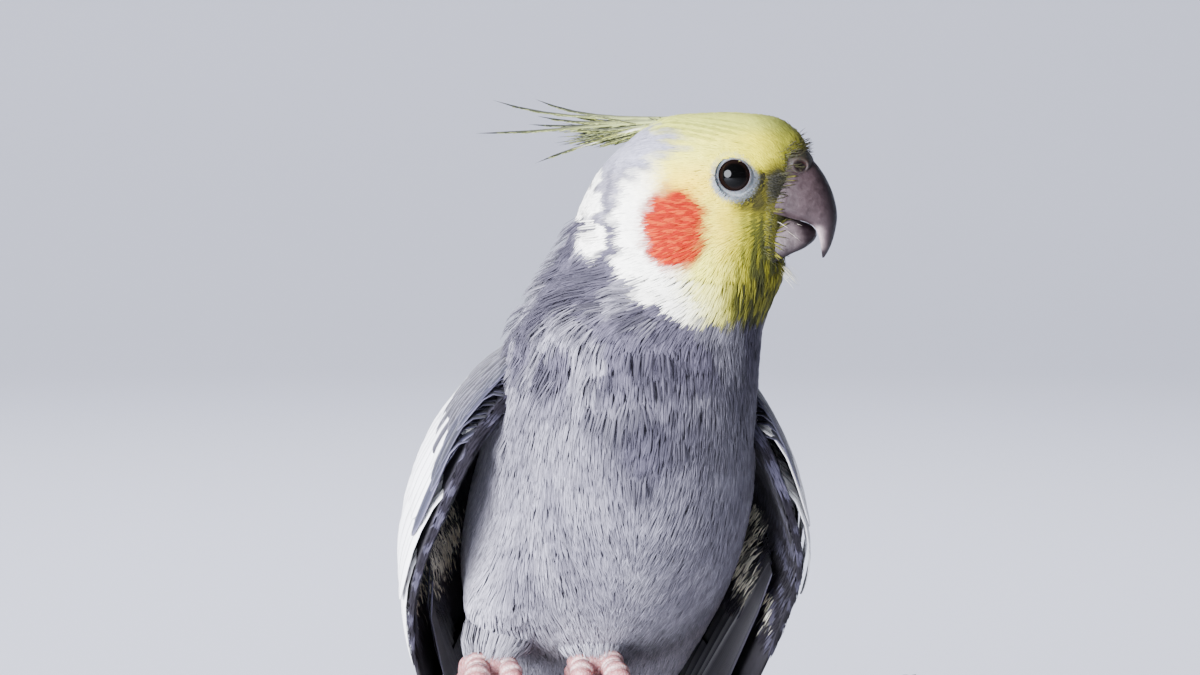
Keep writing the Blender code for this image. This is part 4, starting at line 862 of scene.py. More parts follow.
WING_DARK = np.array(linear("#25232d"))
WING_BROWN = np.array(linear("#2e2a2e"))
WING_NAVY = np.array(linear("#1c1d2e"))
WING_EDGE = np.array(linear("#67657a"))
WING_WHITE = np.array(linear("#ffffff"))
WING_CREAM = np.array(linear("#ece7d0"))
WING_UNDER = np.array(linear("#17141b"))
WHITE_FROM = {  # the white's edge towards the leading edge: shares of the length, then of the width
    -1: ([0.0, 0.13, 0.15, 0.18, 0.205, 0.21, 0.25, 0.31, 0.37, 1.0], [1.0, 0.75, 0.6, 0.5, 0.3, 0.09, 0.07, 0.04, 0.0, 0.0]),
    1: ([0.0, 0.10, 0.16, 0.22, 0.26, 1.0], [1.0, 1.0, 0.34, 0.12, 0.0, 0.0]),
}
WHITE_END = {-1: 0.60, 1: 0.56}


def wing_tints(side, s, q, draw):
    """Base, edge and shaft colours of feathers whose middles lie at s and q of the wing."""
    n = len(s)
    start = np.interp(s, *WHITE_FROM[side]) + draw.normal(0, 0.02, n)
    white = smoothly(q - start, -0.03, 0.01) * smoothly(0.60 - q + draw.normal(0, 0.03, n), -0.04, 0.04)
    white *= smoothly(WHITE_END[side] - s + 0.12 * (0.3 - q), -0.05, 0.05)
    white = white[:, None]
    base = np.where((q < 0.12)[:, None], WING_NAVY, WING_DARK)
    base = base + (WING_BROWN - base) * smoothly(q, 0.5, 0.8)[:, None]
    base = base * draw.uniform(0.7, 1.5, n)[:, None]
    base = base * (1 - white) + WING_WHITE * white
    mottled = draw.uniform(0.25, 1.0, (n, 1))
    edge = base * (1 - mottled) + (WING_EDGE * (1 - white) + WING_WHITE * white) * mottled
    shaft = base * (0.55 + 0.35 * white)
    return base, edge, shaft


def webbed(base, edge, shaft, fringe=0.45):
    """Colours of vanes from their base, edge and shaft colours."""
    rim = smoothly(np.abs(VANE_COLUMNS), 0.55, 1.0)[None, None, :, None] * np.ones((1, len(VANE_STATIONS), 1, 1))
    tip = smoothly(VANE_STATIONS, 0.86, 1.0)[None, :, None, None]
    edging = np.clip(np.maximum(rim, tip) * fringe * 2, 0, 1)
    stem = (np.abs(VANE_COLUMNS) < 0.1)[None, None, :, None] * 0.6
    made = base[:, None, None] * (1 - edging) + edge[:, None, None] * edging
    return made * (1 - stem) + shaft[:, None, None] * stem


# count, first and last root (s, q), first and last tip, half-width, heights, bluntness, roll
WING_TIERS = [
    ("primaries", 8, (0.42, 0.10), (0.42, 0.50), (1.0, 0.28), (0.70, 0.46), 4.0, (-1.5, -1.3), 0.30, 0.0),
    ("secondaries", 12, (0.34, 0.06), (0.31, 0.97), (0.58, 0.08), (0.72, 0.95), 4.4, (-1.4, 0.1), 0.62, 11.0),
    ("greater_coverts", 15, (0.22, 0.04), (0.17, 0.97), (0.45, 0.05), (0.45, 0.96), 3.3, (-1.2, 0.8), 0.62, 11.0),
    ("median_coverts", 18, (0.12, 0.03), (0.06, 0.97), (0.31, 0.04), (0.30, 0.96), 2.6, (-1.0, 1.3), 0.60, 11.0),
]
LESSER_ROWS = 10
PRIMARY_LAYER = 0.45


def tier(side, row, draw):
    """One tier of a wing's vanes."""
    _, count, root_a, root_b, tip_a, tip_b, half_width, levels, blunt, roll = row
    share = np.linspace(0, 1, count)[:, None]
    jitter = draw.normal(0, 0.006, (count, 2))
    root = np.array(root_a) * (1 - share) + np.array(root_b) * share
    tip = np.array(tip_a) * (1 - share) + np.array(tip_b) * share + jitter
    t = VANE_STATIONS[None, :, None]
    along = root[:, None] * (1 - t) + tip[:, None] * t
    place, flow, across, normal = wing_frame(side, along[..., 0].ravel(), along[..., 1].ravel())
    shape = (count, len(VANE_STATIONS), 3)
    place, flow, across, normal = (a.reshape(shape) for a in (place, flow, across, normal))
    settle = np.minimum(VANE_STATIONS / 0.2, 1.0)
    height = levels[0] + (levels[1] - levels[0]) * settle[None, :] + draw.normal(0, 0.06, (count, 1))
    if row[0] == "primaries":
        height = height - PRIMARY_LAYER * (count - 1 - np.arange(count))[:, None]
    turn = math.radians(roll)
    sides = across * math.cos(turn) + normal * math.sin(turn)
    faces_out = normal * math.cos(turn) - across * math.sin(turn)
    slim = np.interp(np.arange(count), [0, 1, 2], [0.5, 0.8, 1.0])[:, None] if row[0] != "primaries" else 1.0
    widths = half_width * slim * vane_outline(blunt)[None] * (1 + draw.normal(0, 0.05, (count, 1)))
    middle = along[:, 6]
    base, edge, shaft = wing_tints(side, middle[:, 0], middle[:, 1], draw)
    tints = webbed(base, edge, shaft)
    under = np.broadcast_to(WING_UNDER, tints.shape) * 0.7 + tints * 0.15
    return vanes(
        place + normal * height[..., None], sides, faces_out, widths, 0.10, 0.30, tints, under, draw
    )


def wing_feathers(side, seed):
    """All the vanes of one wing, from the primaries up to the rows of lesser coverts."""
    draw = np.random.default_rng(seed)
    made = [tier(side, row, draw) for row in WING_TIERS]
    for n in range(LESSER_ROWS):
        start = 0.135 - 0.021 * n
        level = 1.5 + 0.08 * n
        size = 2.05 - 0.07 * n
        shift = 0.025 * (n % 2)
        row = (
            "lesser", 20 - n // 2, (max(start, 0.0), 0.01 + shift), (max(start - 0.04, 0.0), 0.95 + shift),
            (start + 0.09, 0.02 + shift), (start + 0.08, 0.94 + shift), size, (-0.8, level), 0.5, 9.0,
        )
        made.append(tier(side, row, draw))
    return joined(made)


vane_material, vane_shader = new_material("flight_feather_vane", Roughness=0.6)
vane_shader.inputs["Sheen Weight"].default_value = 0.15
vane_shader.inputs["Specular IOR Level"].default_value = 0.35
vane_tint = add(vane_material, "ShaderNodeAttribute", {"attribute_name": "tint"}, {}).outputs["Color"]
web = add(vane_material, "ShaderNodeUVMap", {"uv_map": "stripes"}, {}).outputs[0]
parts = add(vane_material, "ShaderNodeSeparateXYZ", {}, {0: web})
aside = add(vane_material, "ShaderNodeMath", {"operation": "ABSOLUTE"}, {0: parts.outputs[0]}).outputs[0]
BARB_PITCH = 0.42  # mm, coarser than real barbs so that they show
slant = add(
    vane_material, "ShaderNodeMath", {"operation": "MULTIPLY_ADD"}, {0: aside, 1: -1.4, 2: parts.outputs[1]}
).outputs[0]
phase = add(vane_material, "ShaderNodeMath", {"operation": "MULTIPLY"}, {0: slant, 1: 6.2832 / BARB_PITCH}).outputs[0]
wave = add(vane_material, "ShaderNodeMath", {"operation": "SINE"}, {0: phase}).outputs[0]
barbs = add(
    vane_material, "ShaderNodeMapRange", {}, {0: wave, 1: -1.0, 2: 1.0, 3: 0.0, 4: 1.0}
).outputs[0]
barb_tone = ramp(vane_material, barbs, [(0.0, (0.86,) * 3), (1.0, (1.0,) * 3)])
vane_colour = shade(vane_material, vane_tint, 1.0, barb_tone, "MULTIPLY")
stem = add(
    vane_material, "ShaderNodeMapRange", {"interpolation_type": "SMOOTHSTEP"},
    {0: aside, 1: 0.10, 2: 0.26, 3: 0.55, 4: 1.0},
).outputs[0]
stem_tone = ramp(vane_material, stem, [(0.0, (0.0,) * 3), (1.0, (1.0,) * 3)])
link(
    vane_material, shade(vane_material, vane_colour, 1.0, stem_tone, "MULTIPLY"),
    vane_shader.inputs["Base Color"],
)
barb_relief = add(vane_material, "ShaderNodeBump", {}, {"Height": barbs, "Strength": 0.35, "Distance": 0.00006})
link(vane_material, barb_relief.outputs[0], vane_shader.inputs["Normal"])


def wing_core(side):
    """The arm and hand: a slab under the feathers that thins towards the tip, and the shoulder."""
    rows, columns = 34, 18
    s = np.repeat(np.linspace(0.0, 0.62, rows), columns)
    q = np.tile(np.linspace(0.0, 0.97, columns), rows)
    place, _, _, normal = wing_frame(side, s, q)
    edge = np.sin(np.pi * (0.10 + 0.8 * q / 0.97))
    deep = np.maximum((1.0 + 5.2 * (1 - s / 0.62) ** 1.3) * edge, 0.8)
    outer, inner = (place - normal * d[:, None] for d in (0 * deep + 0.9, 0.9 + deep))
    grid_rows = [np.concatenate([a, b[::-1]]) for a, b in zip(outer.reshape(rows, columns, 3), inner.reshape(rows, columns, 3))]
    rings = np.array(grid_rows[:1] + grid_rows + grid_rows[-1:])
    corners, faces = closed_tube(rings)
    height = corners[:, 2]
    tints = np.broadcast_to(WING_UNDER, corners.shape).copy()
    bend = smoothly(height, 28, 44)[:, None]
    tints = tints * (1 - bend) + WING_DARK * bend
    return corners, faces, tints, np.zeros((len(corners), 2)), np.zeros((len(corners), 2))


arm_skin, arm_shader = new_material("wing_lining_skin", Roughness=0.9)
arm_tint = add(arm_skin, "ShaderNodeAttribute", {"attribute_name": "tint"}, {}).outputs["Color"]
arm_place = add(arm_skin, "ShaderNodeTexCoord", {}, {}).outputs["Object"]
arm_grain = add(arm_skin, "ShaderNodeTexNoise", {}, {"Vector": arm_place, "Scale": 700.0, "Detail": 2.0}).outputs[0]
arm_shade = ramp(arm_skin, arm_grain, [(0.3, (0.6,) * 3), (0.7, (1.0,) * 3)])
link(arm_skin, shade(arm_skin, arm_tint, 1.0, arm_shade, "MULTIPLY"), arm_shader.inputs["Base Color"])

LINING_LILAC = np.array(linear("#4a4858"))


def wing_lining(side, seed, arm_corners, arm_faces):
    """Soft small feathers over the arm's edge and inner side, dark with a cream patch."""
    draw = np.random.default_rng(seed)
    tree = BVHTree.FromPolygons(arm_corners.tolist(), arm_faces.tolist())
    s, q = np.meshgrid(np.arange(0.01, 0.535, 0.0062), np.arange(-0.06, 0.95, 0.0165), indexing="ij")
    s, q = s.ravel() + draw.normal(0, 0.002, s.size), q.ravel() + draw.normal(0, 0.005, q.size)
    place, flow, across, normal = wing_frame(side, s, np.maximum(q, 0.0))
    deep = np.maximum((1.0 + 5.2 * (1 - s / 0.62) ** 1.3) * np.sin(np.pi * (0.10 + 0.8 * np.maximum(q, 0) / 0.97)), 0.8)
    under = np.where(q < 0, 0.9 + deep * (1 + q / 0.06), 0.9 + deep)
    roots = place - normal * under[:, None] - across * np.where(q < 0, 0.5, 0.0)[:, None]
    n = len(s)
    ways = flow + across * draw.normal(0.08, 0.10, n)[:, None]
    paths, normals = follow(roots, ways, draw.uniform(3.2, 4.6, n), STRAND_SHARES, tree)
    rise = np.array([-0.5, 0.1, 0.32, 0.36]) + (3.4 * smoothly(s, 0.375, 0.44) * smoothly(q, 0.10, 0.24))[:, None] + draw.normal(0, 0.05, (n, 1)) * np.array([0, 1, 1, 1])
    paths = paths + normals * rise[..., None]
    blotch = smoothly(mottle(paths[:, 1], 2.6, 33), 0.55, 0.85)[:, None] * (0.3 + 0.7 * smoothly(0.35 - q, 0, 0.3))[:, None]
    colour = WING_UNDER * (1 - 0.6 * blotch) + LINING_LILAC * 0.6 * blotch
    if side > 0:
        centre, spread, first, last = 0.33 - (s - 0.42) * 2.1, 0.085, 0.385, 0.50
    else:
        centre, spread, first, last = 0.33 - (s - 0.44) * 1.0, 0.21, 0.405, 0.475
    patch = smoothly(spread - np.abs(q - centre) + draw.normal(0, 0.02, n), -0.02, 0.02)
    patch *= smoothly(s, first - 0.012, first + 0.012) * smoothly(last - s + draw.normal(0, 0.012, n), -0.01, 0.01)
    patch *= 1 - 0.8 * smoothly(mottle(paths[:, 1], 1.6, 34), 0.72, 0.9)
    colour = colour * (1 - patch[:, None]) + WING_CREAM * patch[:, None]
    colour = colour * draw.uniform(0.75, 1.25, (n, 1))
    # Painted shade: each lining strand darkens towards its root
    tints = colour[:, None] * np.array([0.7, 0.85, 1.0, 1.1])[:, None]
    wide = 0.17 * STRAND_WIDTHS[None] * draw.uniform(0.8, 1.2, (n, 1))
    maps = np.stack([q * 0.9 + 0.06, s * 1.5], -1)
    return strands(paths, normals, wide, wide * 0.5, np.clip(tints, 0, 1), maps, 1.06)


for word, side, seed in (("left", 1, 31), ("right", -1, 32)):
    corners, faces, tints, bake, stripes = wing_feathers(side, seed)
    mesh_piece(
        f"wing_feathers_{word}", corners, faces, vane_material,
        (f"wing_{word}",), tints, bake, stripes,
    )
    corners, faces, tints, _, _ = wing_core(side)
    mesh_piece(f"wing_arm_{word}", corners, faces, arm_skin, (f"wing_{word}",), tints)
    corners, faces, tints, bake, lit = wing_lining(side, seed, corners, faces)
    mesh_piece(f"wing_lining_{word}", corners, faces, barb, (f"wing_{word}",), tints, bake, soft=lit)

# The tail: twelve long tapering vanes that overlap like a closed fan, the middle pair the
# longest, rooted in the skin under the tail coverts.
TAIL_ROOT = np.array([BODY_MID_X, 40.0, -6.0])
TAIL_SLOPE, TAIL_LENGTH, TAIL_LAYER = math.radians(32.0), 165.0, 0.95
TAIL_PAIRS = [1.0, 0.88, 0.77, 0.68, 0.61, 0.55]
TAIL_UPPER = np.array(linear("#6a6872"))
TAIL_EDGE = np.array(linear("#a19fa8"))
TAIL_UNDER = np.array(linear("#35333a"))
tail_down = np.array([0, math.sin(TAIL_SLOPE), -math.cos(TAIL_SLOPE)])
tail_out = np.array([0, math.cos(TAIL_SLOPE), math.sin(TAIL_SLOPE)])
draw = np.random.default_rng(41)
quills = []
for pair, share in enumerate(TAIL_PAIRS):
    for side in (-1, 1):
        layer = pair * 2 + (side > 0)
        spread = math.radians(0.4 + 1.05 * pair) * side
        way = tail_down * math.cos(spread) + np.array([math.sin(spread), 0, 0])
        root = TAIL_ROOT + tail_down * 14 + np.array([side * (0.9 + 0.75 * pair), 0, 0])
        root = root + tail_out * (2.2 - TAIL_LAYER * 0.5 * layer)
        path = root + np.multiply.outer(VANE_STATIONS, way) * (TAIL_LENGTH * share - 14)
        roll = math.radians(8) * side
        lateral = np.array([math.cos(roll), 0, 0]) - tail_out * math.sin(roll)
        stations = len(VANE_STATIONS)
        base = TAIL_UPPER[None] * (1 + draw.normal(0, 0.06))
        tints = webbed(base, TAIL_EDGE[None], base * 0.5, 0.4)
        under = np.broadcast_to(TAIL_UNDER, tints.shape)
        width = (4.4 if pair else 3.6) * vane_outline(0.35, 0.75, 0.08)
        tall = np.repeat(tail_out[None, None], stations, axis=1)
        quills.append(
            vanes(path[None], np.repeat(lateral[None, None], stations, axis=1), tall, width[None],
                  0.10, 0.45, tints, under, draw)
        )
corners, faces, tints, _, stripes = joined(quills)
cells = np.concatenate([quill[3] / 4 + np.array([n % 4, n // 4]) / 4 for n, quill in enumerate(quills)])
mesh_piece("tail_feathers", corners, faces, vane_material, ("tail",), tints, cells, stripes)

# The crest: long narrow feathers from the crown, laid back with their tips curling up.
# Each is a thin dark shaft with loose barbs down both sides, so the tips look wispy.
CREST_TIPS = [  # forward, up and left in the head's frame
    (-37.6, 9.7, -0.6), (-34.8, 15.2, 0.5), (-27.6, 15.4, -0.3), (-27.4, 4.8, -1.2),
    (-29.0, 11.2, 1.2), (-22.5, 12.8, 1.6), (-21.0, 7.8, -2.0), (-27.0, 12.6, -1.5),
    (-17.0, 10.6, 2.2), (-16.0, 9.4, 0.4), (-21.5, 9.6, 0.9),
]
CREST_OLIVE = np.array(linear("#aeb556"))
CREST_GREY = np.array(linear("#8b9268"))
CREST_DARK = np.array(linear("#171b13"))
CREST_SHARES = np.linspace(0, 1, 11)
crest_draw = np.random.default_rng(51)


def crest_path(number, tip):
    """A feather's path from the crown to its tip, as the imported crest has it."""
    share = min(number / 10, 1.0)
    f, k, l = tip
    stagger = number % 3 - 1
    root = np.array([6.5 - 7.5 * share, stagger * 1.5, 10.7 + 0.3 * share])
    lift = np.array([-1.5 - 4.5 * share, stagger * 1.6, 13.5 - 0.5 * share])
    lie = np.array([0.62 * f, 0.8 * l, 7.8 + 0.14 * k])
    t = CREST_SHARES[:, None]
    line = root * (1 - t) ** 3 + lift * 3 * (1 - t) ** 2 * t + lie * 3 * (1 - t) * t**2 + np.array([f, l, k]) * t**3
    return head_place(line[:, 0], line[:, 1], line[:, 2])


crest_lines = []
for n, tip in enumerate(CREST_TIPS):
    crest_lines.append(crest_path(n, tip))
for n in range(80):
    f = -crest_draw.uniform(7, 25)
    low = np.interp(f, [-26, -18.5, -14.8, -11, -7], [7.6, 7.0, 7.5, 8.9, 10.2])
    tip = (f, crest_draw.uniform(low, 12.9), crest_draw.uniform(-2.4, 2.4))
    crest_lines.append(crest_path(crest_draw.uniform(0, 10), tip))
crest_lines = np.array(crest_lines)
count = len(crest_lines)
lengths = np.linalg.norm(np.diff(crest_lines, axis=1), axis=2).sum(1)
tangents = np.gradient(crest_lines, axis=1)
tangents /= np.linalg.norm(tangents, axis=2, keepdims=True)
turned = np.cross(tangents, HEAD_LEFT)
turned /= np.linalg.norm(turned, axis=2, keepdims=True)
turned *= np.sign(turned[..., 2:])
taper = (1 - CREST_SHARES) ** 0.7
wide = 0.34 * taper[None] * crest_draw.uniform(0.8, 1.2, (count, 1)) + 0.06
wide[: len(CREST_TIPS)] += 0.12
tone = crest_draw.uniform(0, 1, (count, 1))
hue = CREST_OLIVE * (1 - tone) + CREST_GREY * tone
fade = smoothly(CREST_SHARES, 0.35, 0.9)[None, :, None]
tints = hue[:, None] * (1 - fade) + CREST_DARK * fade
tints = tints * (1.0 + 0.25 * (1 - CREST_SHARES))[None, :, None]
maps = np.stack([np.full(count, 0.2), np.linspace(0.9, 0.99, count)], -1)
tints[[3, 6, 9], [7, 6, 5]] = CREAM * 0.6  # a few white flecks
shafts = strands(crest_lines, turned, wide, wide * 1.3, tints, maps, 0.8)
barb_sets = []
for n in range(count):
    pieces = int(lengths[n] / 0.6)
    t = np.linspace(0.12, 0.90, pieces)
    for way in (-1, 1):
        place = np.stack([np.interp(t, CREST_SHARES, crest_lines[n, :, k]) for k in range(3)], -1)
        along = np.stack([np.interp(t, CREST_SHARES, tangents[n, :, k]) for k in range(3)], -1)
        up = np.stack([np.interp(t, CREST_SHARES, turned[n, :, k]) for k in range(3)], -1)
        aside = np.cross(along, up)
        reach = (2.9 - 1.9 * t) * crest_draw.uniform(0.6, 1.15, pieces)
        angle = crest_draw.uniform(0.16, 0.42, pieces)
        lean = crest_draw.uniform(-0.5, 0.25, pieces)
        heading = along * np.cos(angle)[:, None] + (aside * way + up * lean[:, None]) * np.sin(angle)[:, None]
        steps = STRAND_SHARES[None, :, None] * reach[:, None, None]
        lines = place[:, None] + heading[:, None] * steps + up[:, None] * (steps * steps * 0.03)
        normals = np.repeat(up[:, None], len(STRAND_SHARES), axis=1)
        broad = 0.12 * STRAND_WIDTHS[None] * np.ones((pieces, 1))
        fade = smoothly(t, 0.5, 1.0)[:, None] * 0.6
        colour = (hue[n] * (1 - fade) + CREST_DARK * 1.3 * fade) * crest_draw.uniform(0.75, 1.3, (pieces, 1))
        shades = np.repeat(colour[:, None], len(STRAND_SHARES), axis=1)
        spots = np.stack([np.full(pieces, 0.2 + 0.02 * way), 0.9 + 0.09 * t], -1)
        barb_sets.append(strands(lines, normals, broad, broad, shades, spots))
corners, faces, tints, bake, _ = joined([shafts] + barb_sets)
mesh_piece("crest", corners, faces, barb, ("head",), np.clip(tints, 0, 1), bake)

# The bill: horn in two halves, taupe with a dark ridge and tip. The upper half hooks down
# over the lower, whose edges close up inside it, and both are rooted under the feathers.
UPPER_BILL = [  # ridge (forward, up), cutting edge (forward, up), half-width at the edge
    ((12.0, 7.6), (9.0, -2.0), 5.0),
    ((15.2, 7.5), (11.2, -2.6), 5.2),
    ((17.6, 6.2), (13.4, -3.2), 5.0),
    ((19.8, 3.7), (15.8, -3.9), 4.4),
    ((21.5, 0.4), (17.6, -4.4), 3.6),
    ((22.3, -3.2), (19.0, -5.3), 2.7),
    ((21.9, -6.4), (19.7, -7.2), 1.8),
    ((21.1, -8.8), (19.9, -9.2), 1.0),
    ((20.2, -10.3), (19.95, -10.3), 0.25),
]
LOWER_BILL = [  # upper edge (forward, up), keel (forward, up), half-width at the edge
    ((8.5, -3.0), (9.5, -12.0), 4.3),
    ((11.5, -3.1), (12.0, -11.2), 4.4),
    ((14.0, -3.5), (14.4, -9.9), 4.1),
    ((16.2, -4.3), (16.6, -8.9), 3.5),
    ((17.9, -4.9), (18.2, -7.7), 2.5),
    ((18.8, -5.8), (18.9, -6.7), 1.3),
]
BILL_ARC = 30  # points over the outside of a section
HORN = np.array(linear("#33282a"))
HORN_PALE = np.array(linear("#4a3f40"))
HORN_DARK = np.array(linear("#150c10"))
LOWER_PALE = np.array(linear("#564c4d"))
HORN_INSIDE = np.array(linear("#dcc6c6"))


def horn_sections(rows, hollow):
    """Sections of half a bill: an arch over the ridge or keel, closed by a shallow hollow."""
    flat = np.array([(*a, *b, w) for a, b, w in rows])
    fine = curve(flat, np.linspace(0, 1, 8 * (len(rows) - 1) + 1))
    turn = np.linspace(-np.pi / 2, np.pi / 2, BILL_ARC)
    back = np.linspace(1, -1, 10)[1:-1]
    reach = np.concatenate([np.cos(turn) ** 0.8, hollow * (1 - back**2)])
    across = np.concatenate([np.sign(turn) * np.abs(np.sin(turn)) ** 0.9, back])
    rings = []
    for ridge_f, ridge_k, edge_f, edge_k, wide in fine:
        f = edge_f + (ridge_f - edge_f) * reach
        k = edge_k + (ridge_k - edge_k) * reach
        rings.append(head_place(f, across * wide, k))
    rings = np.array([rings[0]] + rings + [rings[-1]])
    return rings, reach, across


def horn_tints(corners, lower):
    f, l, k = in_head(corners)
    streak = mottle(corners * np.array([1, 1, 0.35]), 1.1, 61)
    tint = HORN * (0.9 + 0.2 * streak)[:, None]
    if lower:
        front = smoothly(f + 0.5 * k, 12.6, 14.6)[:, None]
        tint = LOWER_PALE * (0.80 + 0.3 * streak)[:, None] * (1 - front) + HORN_DARK * front
        keel = smoothly(-k + 0.35 * f, 11.6, 14.6)[:, None] * 0.85
        return tint * (1 - keel) + HORN_DARK * keel
    ridge_f = np.interp(-k, [-7.5, -6.2, -3.7, -0.4, 3.2, 6.4, 8.8, 10.3], [15.2, 17.6, 19.8, 21.5, 22.3, 21.9, 21.1, 20.2])
    near_ridge = np.exp(-(((ridge_f - f) / 1.7) ** 2)) * smoothly(f, 17.5, 20.5)
    tip = smoothly(-k, 7.4, 9.4)
    dark = np.clip(near_ridge * 0.85 + tip * 0.8, 0, 0.92)[:, None]
    pale = smoothly(-f, -13.6, -11.2)[:, None] * 0.55
    inner = (smoothly(-k, 4.6, 6.0) * (1 - smoothly(-k, 8.2, 9.4)) * np.exp(-(((f - 19.3) / 0.9) ** 2)))[:, None]
    tint = tint * (1 - pale) + HORN_PALE * pale
    tint = tint * (1 - dark) + HORN_DARK * dark
    # Painted shade: the horn under the nostril's pit is darkened
    nostril_painted_shade = np.exp(-(((f - 16.9) ** 2 + (k - 4.7) ** 2) / 1.3) ** 2)[:, None]
    tint = tint * (1 - 0.85 * nostril_painted_shade)
    return tint * (1 - 0.5 * inner) + HORN_INSIDE * 0.5 * inner


horn, horn_shader = new_material("bill_horn", Roughness=0.42, Specular_IOR_Level=0.35)
horn_tint = add(horn, "ShaderNodeAttribute", {"attribute_name": "tint"}, {}).outputs["Color"]
horn_place = add(horn, "ShaderNodeTexCoord", {}, {}).outputs["Object"]
growth = add(horn, "ShaderNodeTexNoise", {}, {"Vector": horn_place, "Scale": 1100.0, "Detail": 4.0}).outputs[0]
growth_tone = ramp(horn, growth, [(0.3, (0.72,) * 3), (0.7, (1.08,) * 3)])
link(horn, shade(horn, horn_tint, 1.0, growth_tone, "MULTIPLY"), horn_shader.inputs["Base Color"])
scuffs = add(horn, "ShaderNodeMapRange", {}, {0: growth, 1: 0.3, 2: 0.7, 3: 0.34, 4: 0.58}).outputs[0]
link(horn, scuffs, horn_shader.inputs["Roughness"])
flaking = add(horn, "ShaderNodeBump", {}, {"Height": growth, "Strength": 0.55, "Distance": 0.00018})
link(horn, flaking.outputs[0], horn_shader.inputs["Normal"])

bill_shells = []
for name, rows, hollow in (("bill_upper", UPPER_BILL, 0.2), ("bill_lower", LOWER_BILL, 0.3)):
    rings, _, _ = horn_sections(rows, hollow)
    corners, faces = closed_tube(rings)
    bill_shells.append((corners, faces))
    mesh_piece(f"{name}_horn", corners, faces, horn, (name,), horn_tints(corners, name == "bill_lower"))

# The cere: the bare, slightly swollen skin over the bill's root, with an open nostril on
# each side, a shallow pit coloured near black as painted shade, and the fine bristles that
# stand round it and under the chin.
CERE_CENTRE, CERE_RADII = (15.3, 0.0, 4.9), (3.1, 4.5, 2.8)
NOSTRIL = (16.9, 3.1, 4.7)  # forward, left and up
CERE_SKIN = np.array(linear("#2c2321"))
CERE_OLIVE = np.array(linear("#2b2911"))
NOSTRIL_PAINTED_SHADE = np.array(linear("#1c0908"))
bpy.ops.object.select_all(action="DESELECT")
bpy.ops.mesh.primitive_uv_sphere_add(segments=72, ring_count=40, radius=1.0, location=(0, 0, 0))
ball = bpy.context.object
sphere = np.array([v.co for v in ball.data.vertices])
sphere_faces = [tuple(p.vertices) for p in ball.data.polygons]
bpy.data.objects.remove(ball)
sphere_triangles = np.array([(a[0], a[i], a[i + 1]) for a in sphere_faces for i in range(1, len(a) - 1)])
local = sphere * CERE_RADII + CERE_CENTRE
local[:, 0] += 0.25 * np.abs(local[:, 1]) * smoothly(np.abs(local[:, 1]), 0, 3) * 0.6
pit = np.zeros(len(local))
for side in (-1, 1):
    away = local - np.array([NOSTRIL[0], side * NOSTRIL[1], NOSTRIL[2]])
    hole = np.exp(-((away[:, 0] ** 2 + away[:, 2] ** 2) / 0.62) ** 1.6) * (side * local[:, 1] > 0)
    pit = np.maximum(pit, hole)
    local[:, 1] -= side * hole * 1.5
    rim_swell = np.exp(-((np.hypot(away[:, 0], away[:, 2]) - 1.35) / 0.45) ** 2) * (side * local[:, 1] > 0)
    local[:, 1] += side * rim_swell * 0.12
corners = head_place(local[:, 0], local[:, 1], local[:, 2])
olive = smoothly(local[:, 2], 4.4, 7.0)[:, None] * 0.55
tints = CERE_SKIN * (1 - olive) + CERE_OLIVE * olive
tints = tints * (0.85 + 0.3 * mottle(corners, 0.9, 63))[:, None]
# Painted shade: the nostril pits are coloured near black
deep = smoothly(pit, 0.15, 0.75)[:, None]
tints = tints * (1 - deep) + NOSTRIL_PAINTED_SHADE * deep
if volume(corners, sphere_triangles) < 0:
    sphere_triangles = sphere_triangles[:, ::-1]

bare_skin, bare_shader = new_material("bare_skin", Roughness=0.6, Specular_IOR_Level=0.3)
bare_shader.inputs["Subsurface Weight"].default_value = 0.15
bare_shader.inputs["Subsurface Scale"].default_value = 0.0006
bare_tint = add(bare_skin, "ShaderNodeAttribute", {"attribute_name": "tint"}, {}).outputs["Color"]
bare_place = add(bare_skin, "ShaderNodeTexCoord", {}, {}).outputs["Object"]
pores = add(
    bare_skin, "ShaderNodeTexVoronoi", {"feature": "DISTANCE_TO_EDGE"}, {"Vector": bare_place, "Scale": 2200.0}
).outputs["Distance"]
pore_tone = ramp(bare_skin, pores, [(0.0, (0.72,) * 3), (0.25, (1.0,) * 3)])
link(bare_skin, shade(bare_skin, bare_tint, 1.0, pore_tone, "MULTIPLY"), bare_shader.inputs["Base Color"])
pore_relief = add(bare_skin, "ShaderNodeBump", {}, {"Height": pores, "Strength": 0.35, "Distance": 0.0001})
link(bare_skin, pore_relief.outputs[0], bare_shader.inputs["Normal"])
mesh_piece("cere_skin", corners, sphere_triangles, bare_skin, ("cere",), tints)

BRISTLES = [  # how many, root low and high, way (each forward, left, up), stand, length, half-width, colour
    (150, (13.4, -4.6, 6.4), (17.4, 4.6, 8.2), (0.75, 0.0, 0.55), 0.5, 1.7, 0.05, "#37341b"),
    (150, (12.4, -5.4, 3.2), (14.8, 5.4, 6.8), (0.75, 0.0, 0.2), 0.3, 2.0, 0.05, "#36351a"),
    (900, (10.6, 3.4, -10.0), (13.4, 7.2, 3.4), (0.95, 0.0, -0.12), 0.06, 3.4, 0.10, "#ffffff"),
    (900, (10.6, -7.2, -10.0), (13.4, -3.4, 3.4), (0.95, 0.0, -0.12), 0.06, 3.4, 0.10, "#ffffff"),
    (12, (11.6, -5.4, -4.9), (13.2, 5.4, -3.6), (0.9, 0.0, -0.30), 0.4, 3.8, 0.035, "#d9d3bd"),
    (34, (12.6, -2.6, -12.6), (15.0, 2.6, -11.0), (0.55, 0.0, -0.75), 0.3, 3.3, 0.045, "#e9e6c4"),
]
bristle_draw = np.random.default_rng(66)
face_corners, face_faces = [plume_corners], [skin_faces]
for covered in bill_shells:
    face_faces.append(covered[1] + sum(map(len, face_corners)))
    face_corners.append(covered[0])
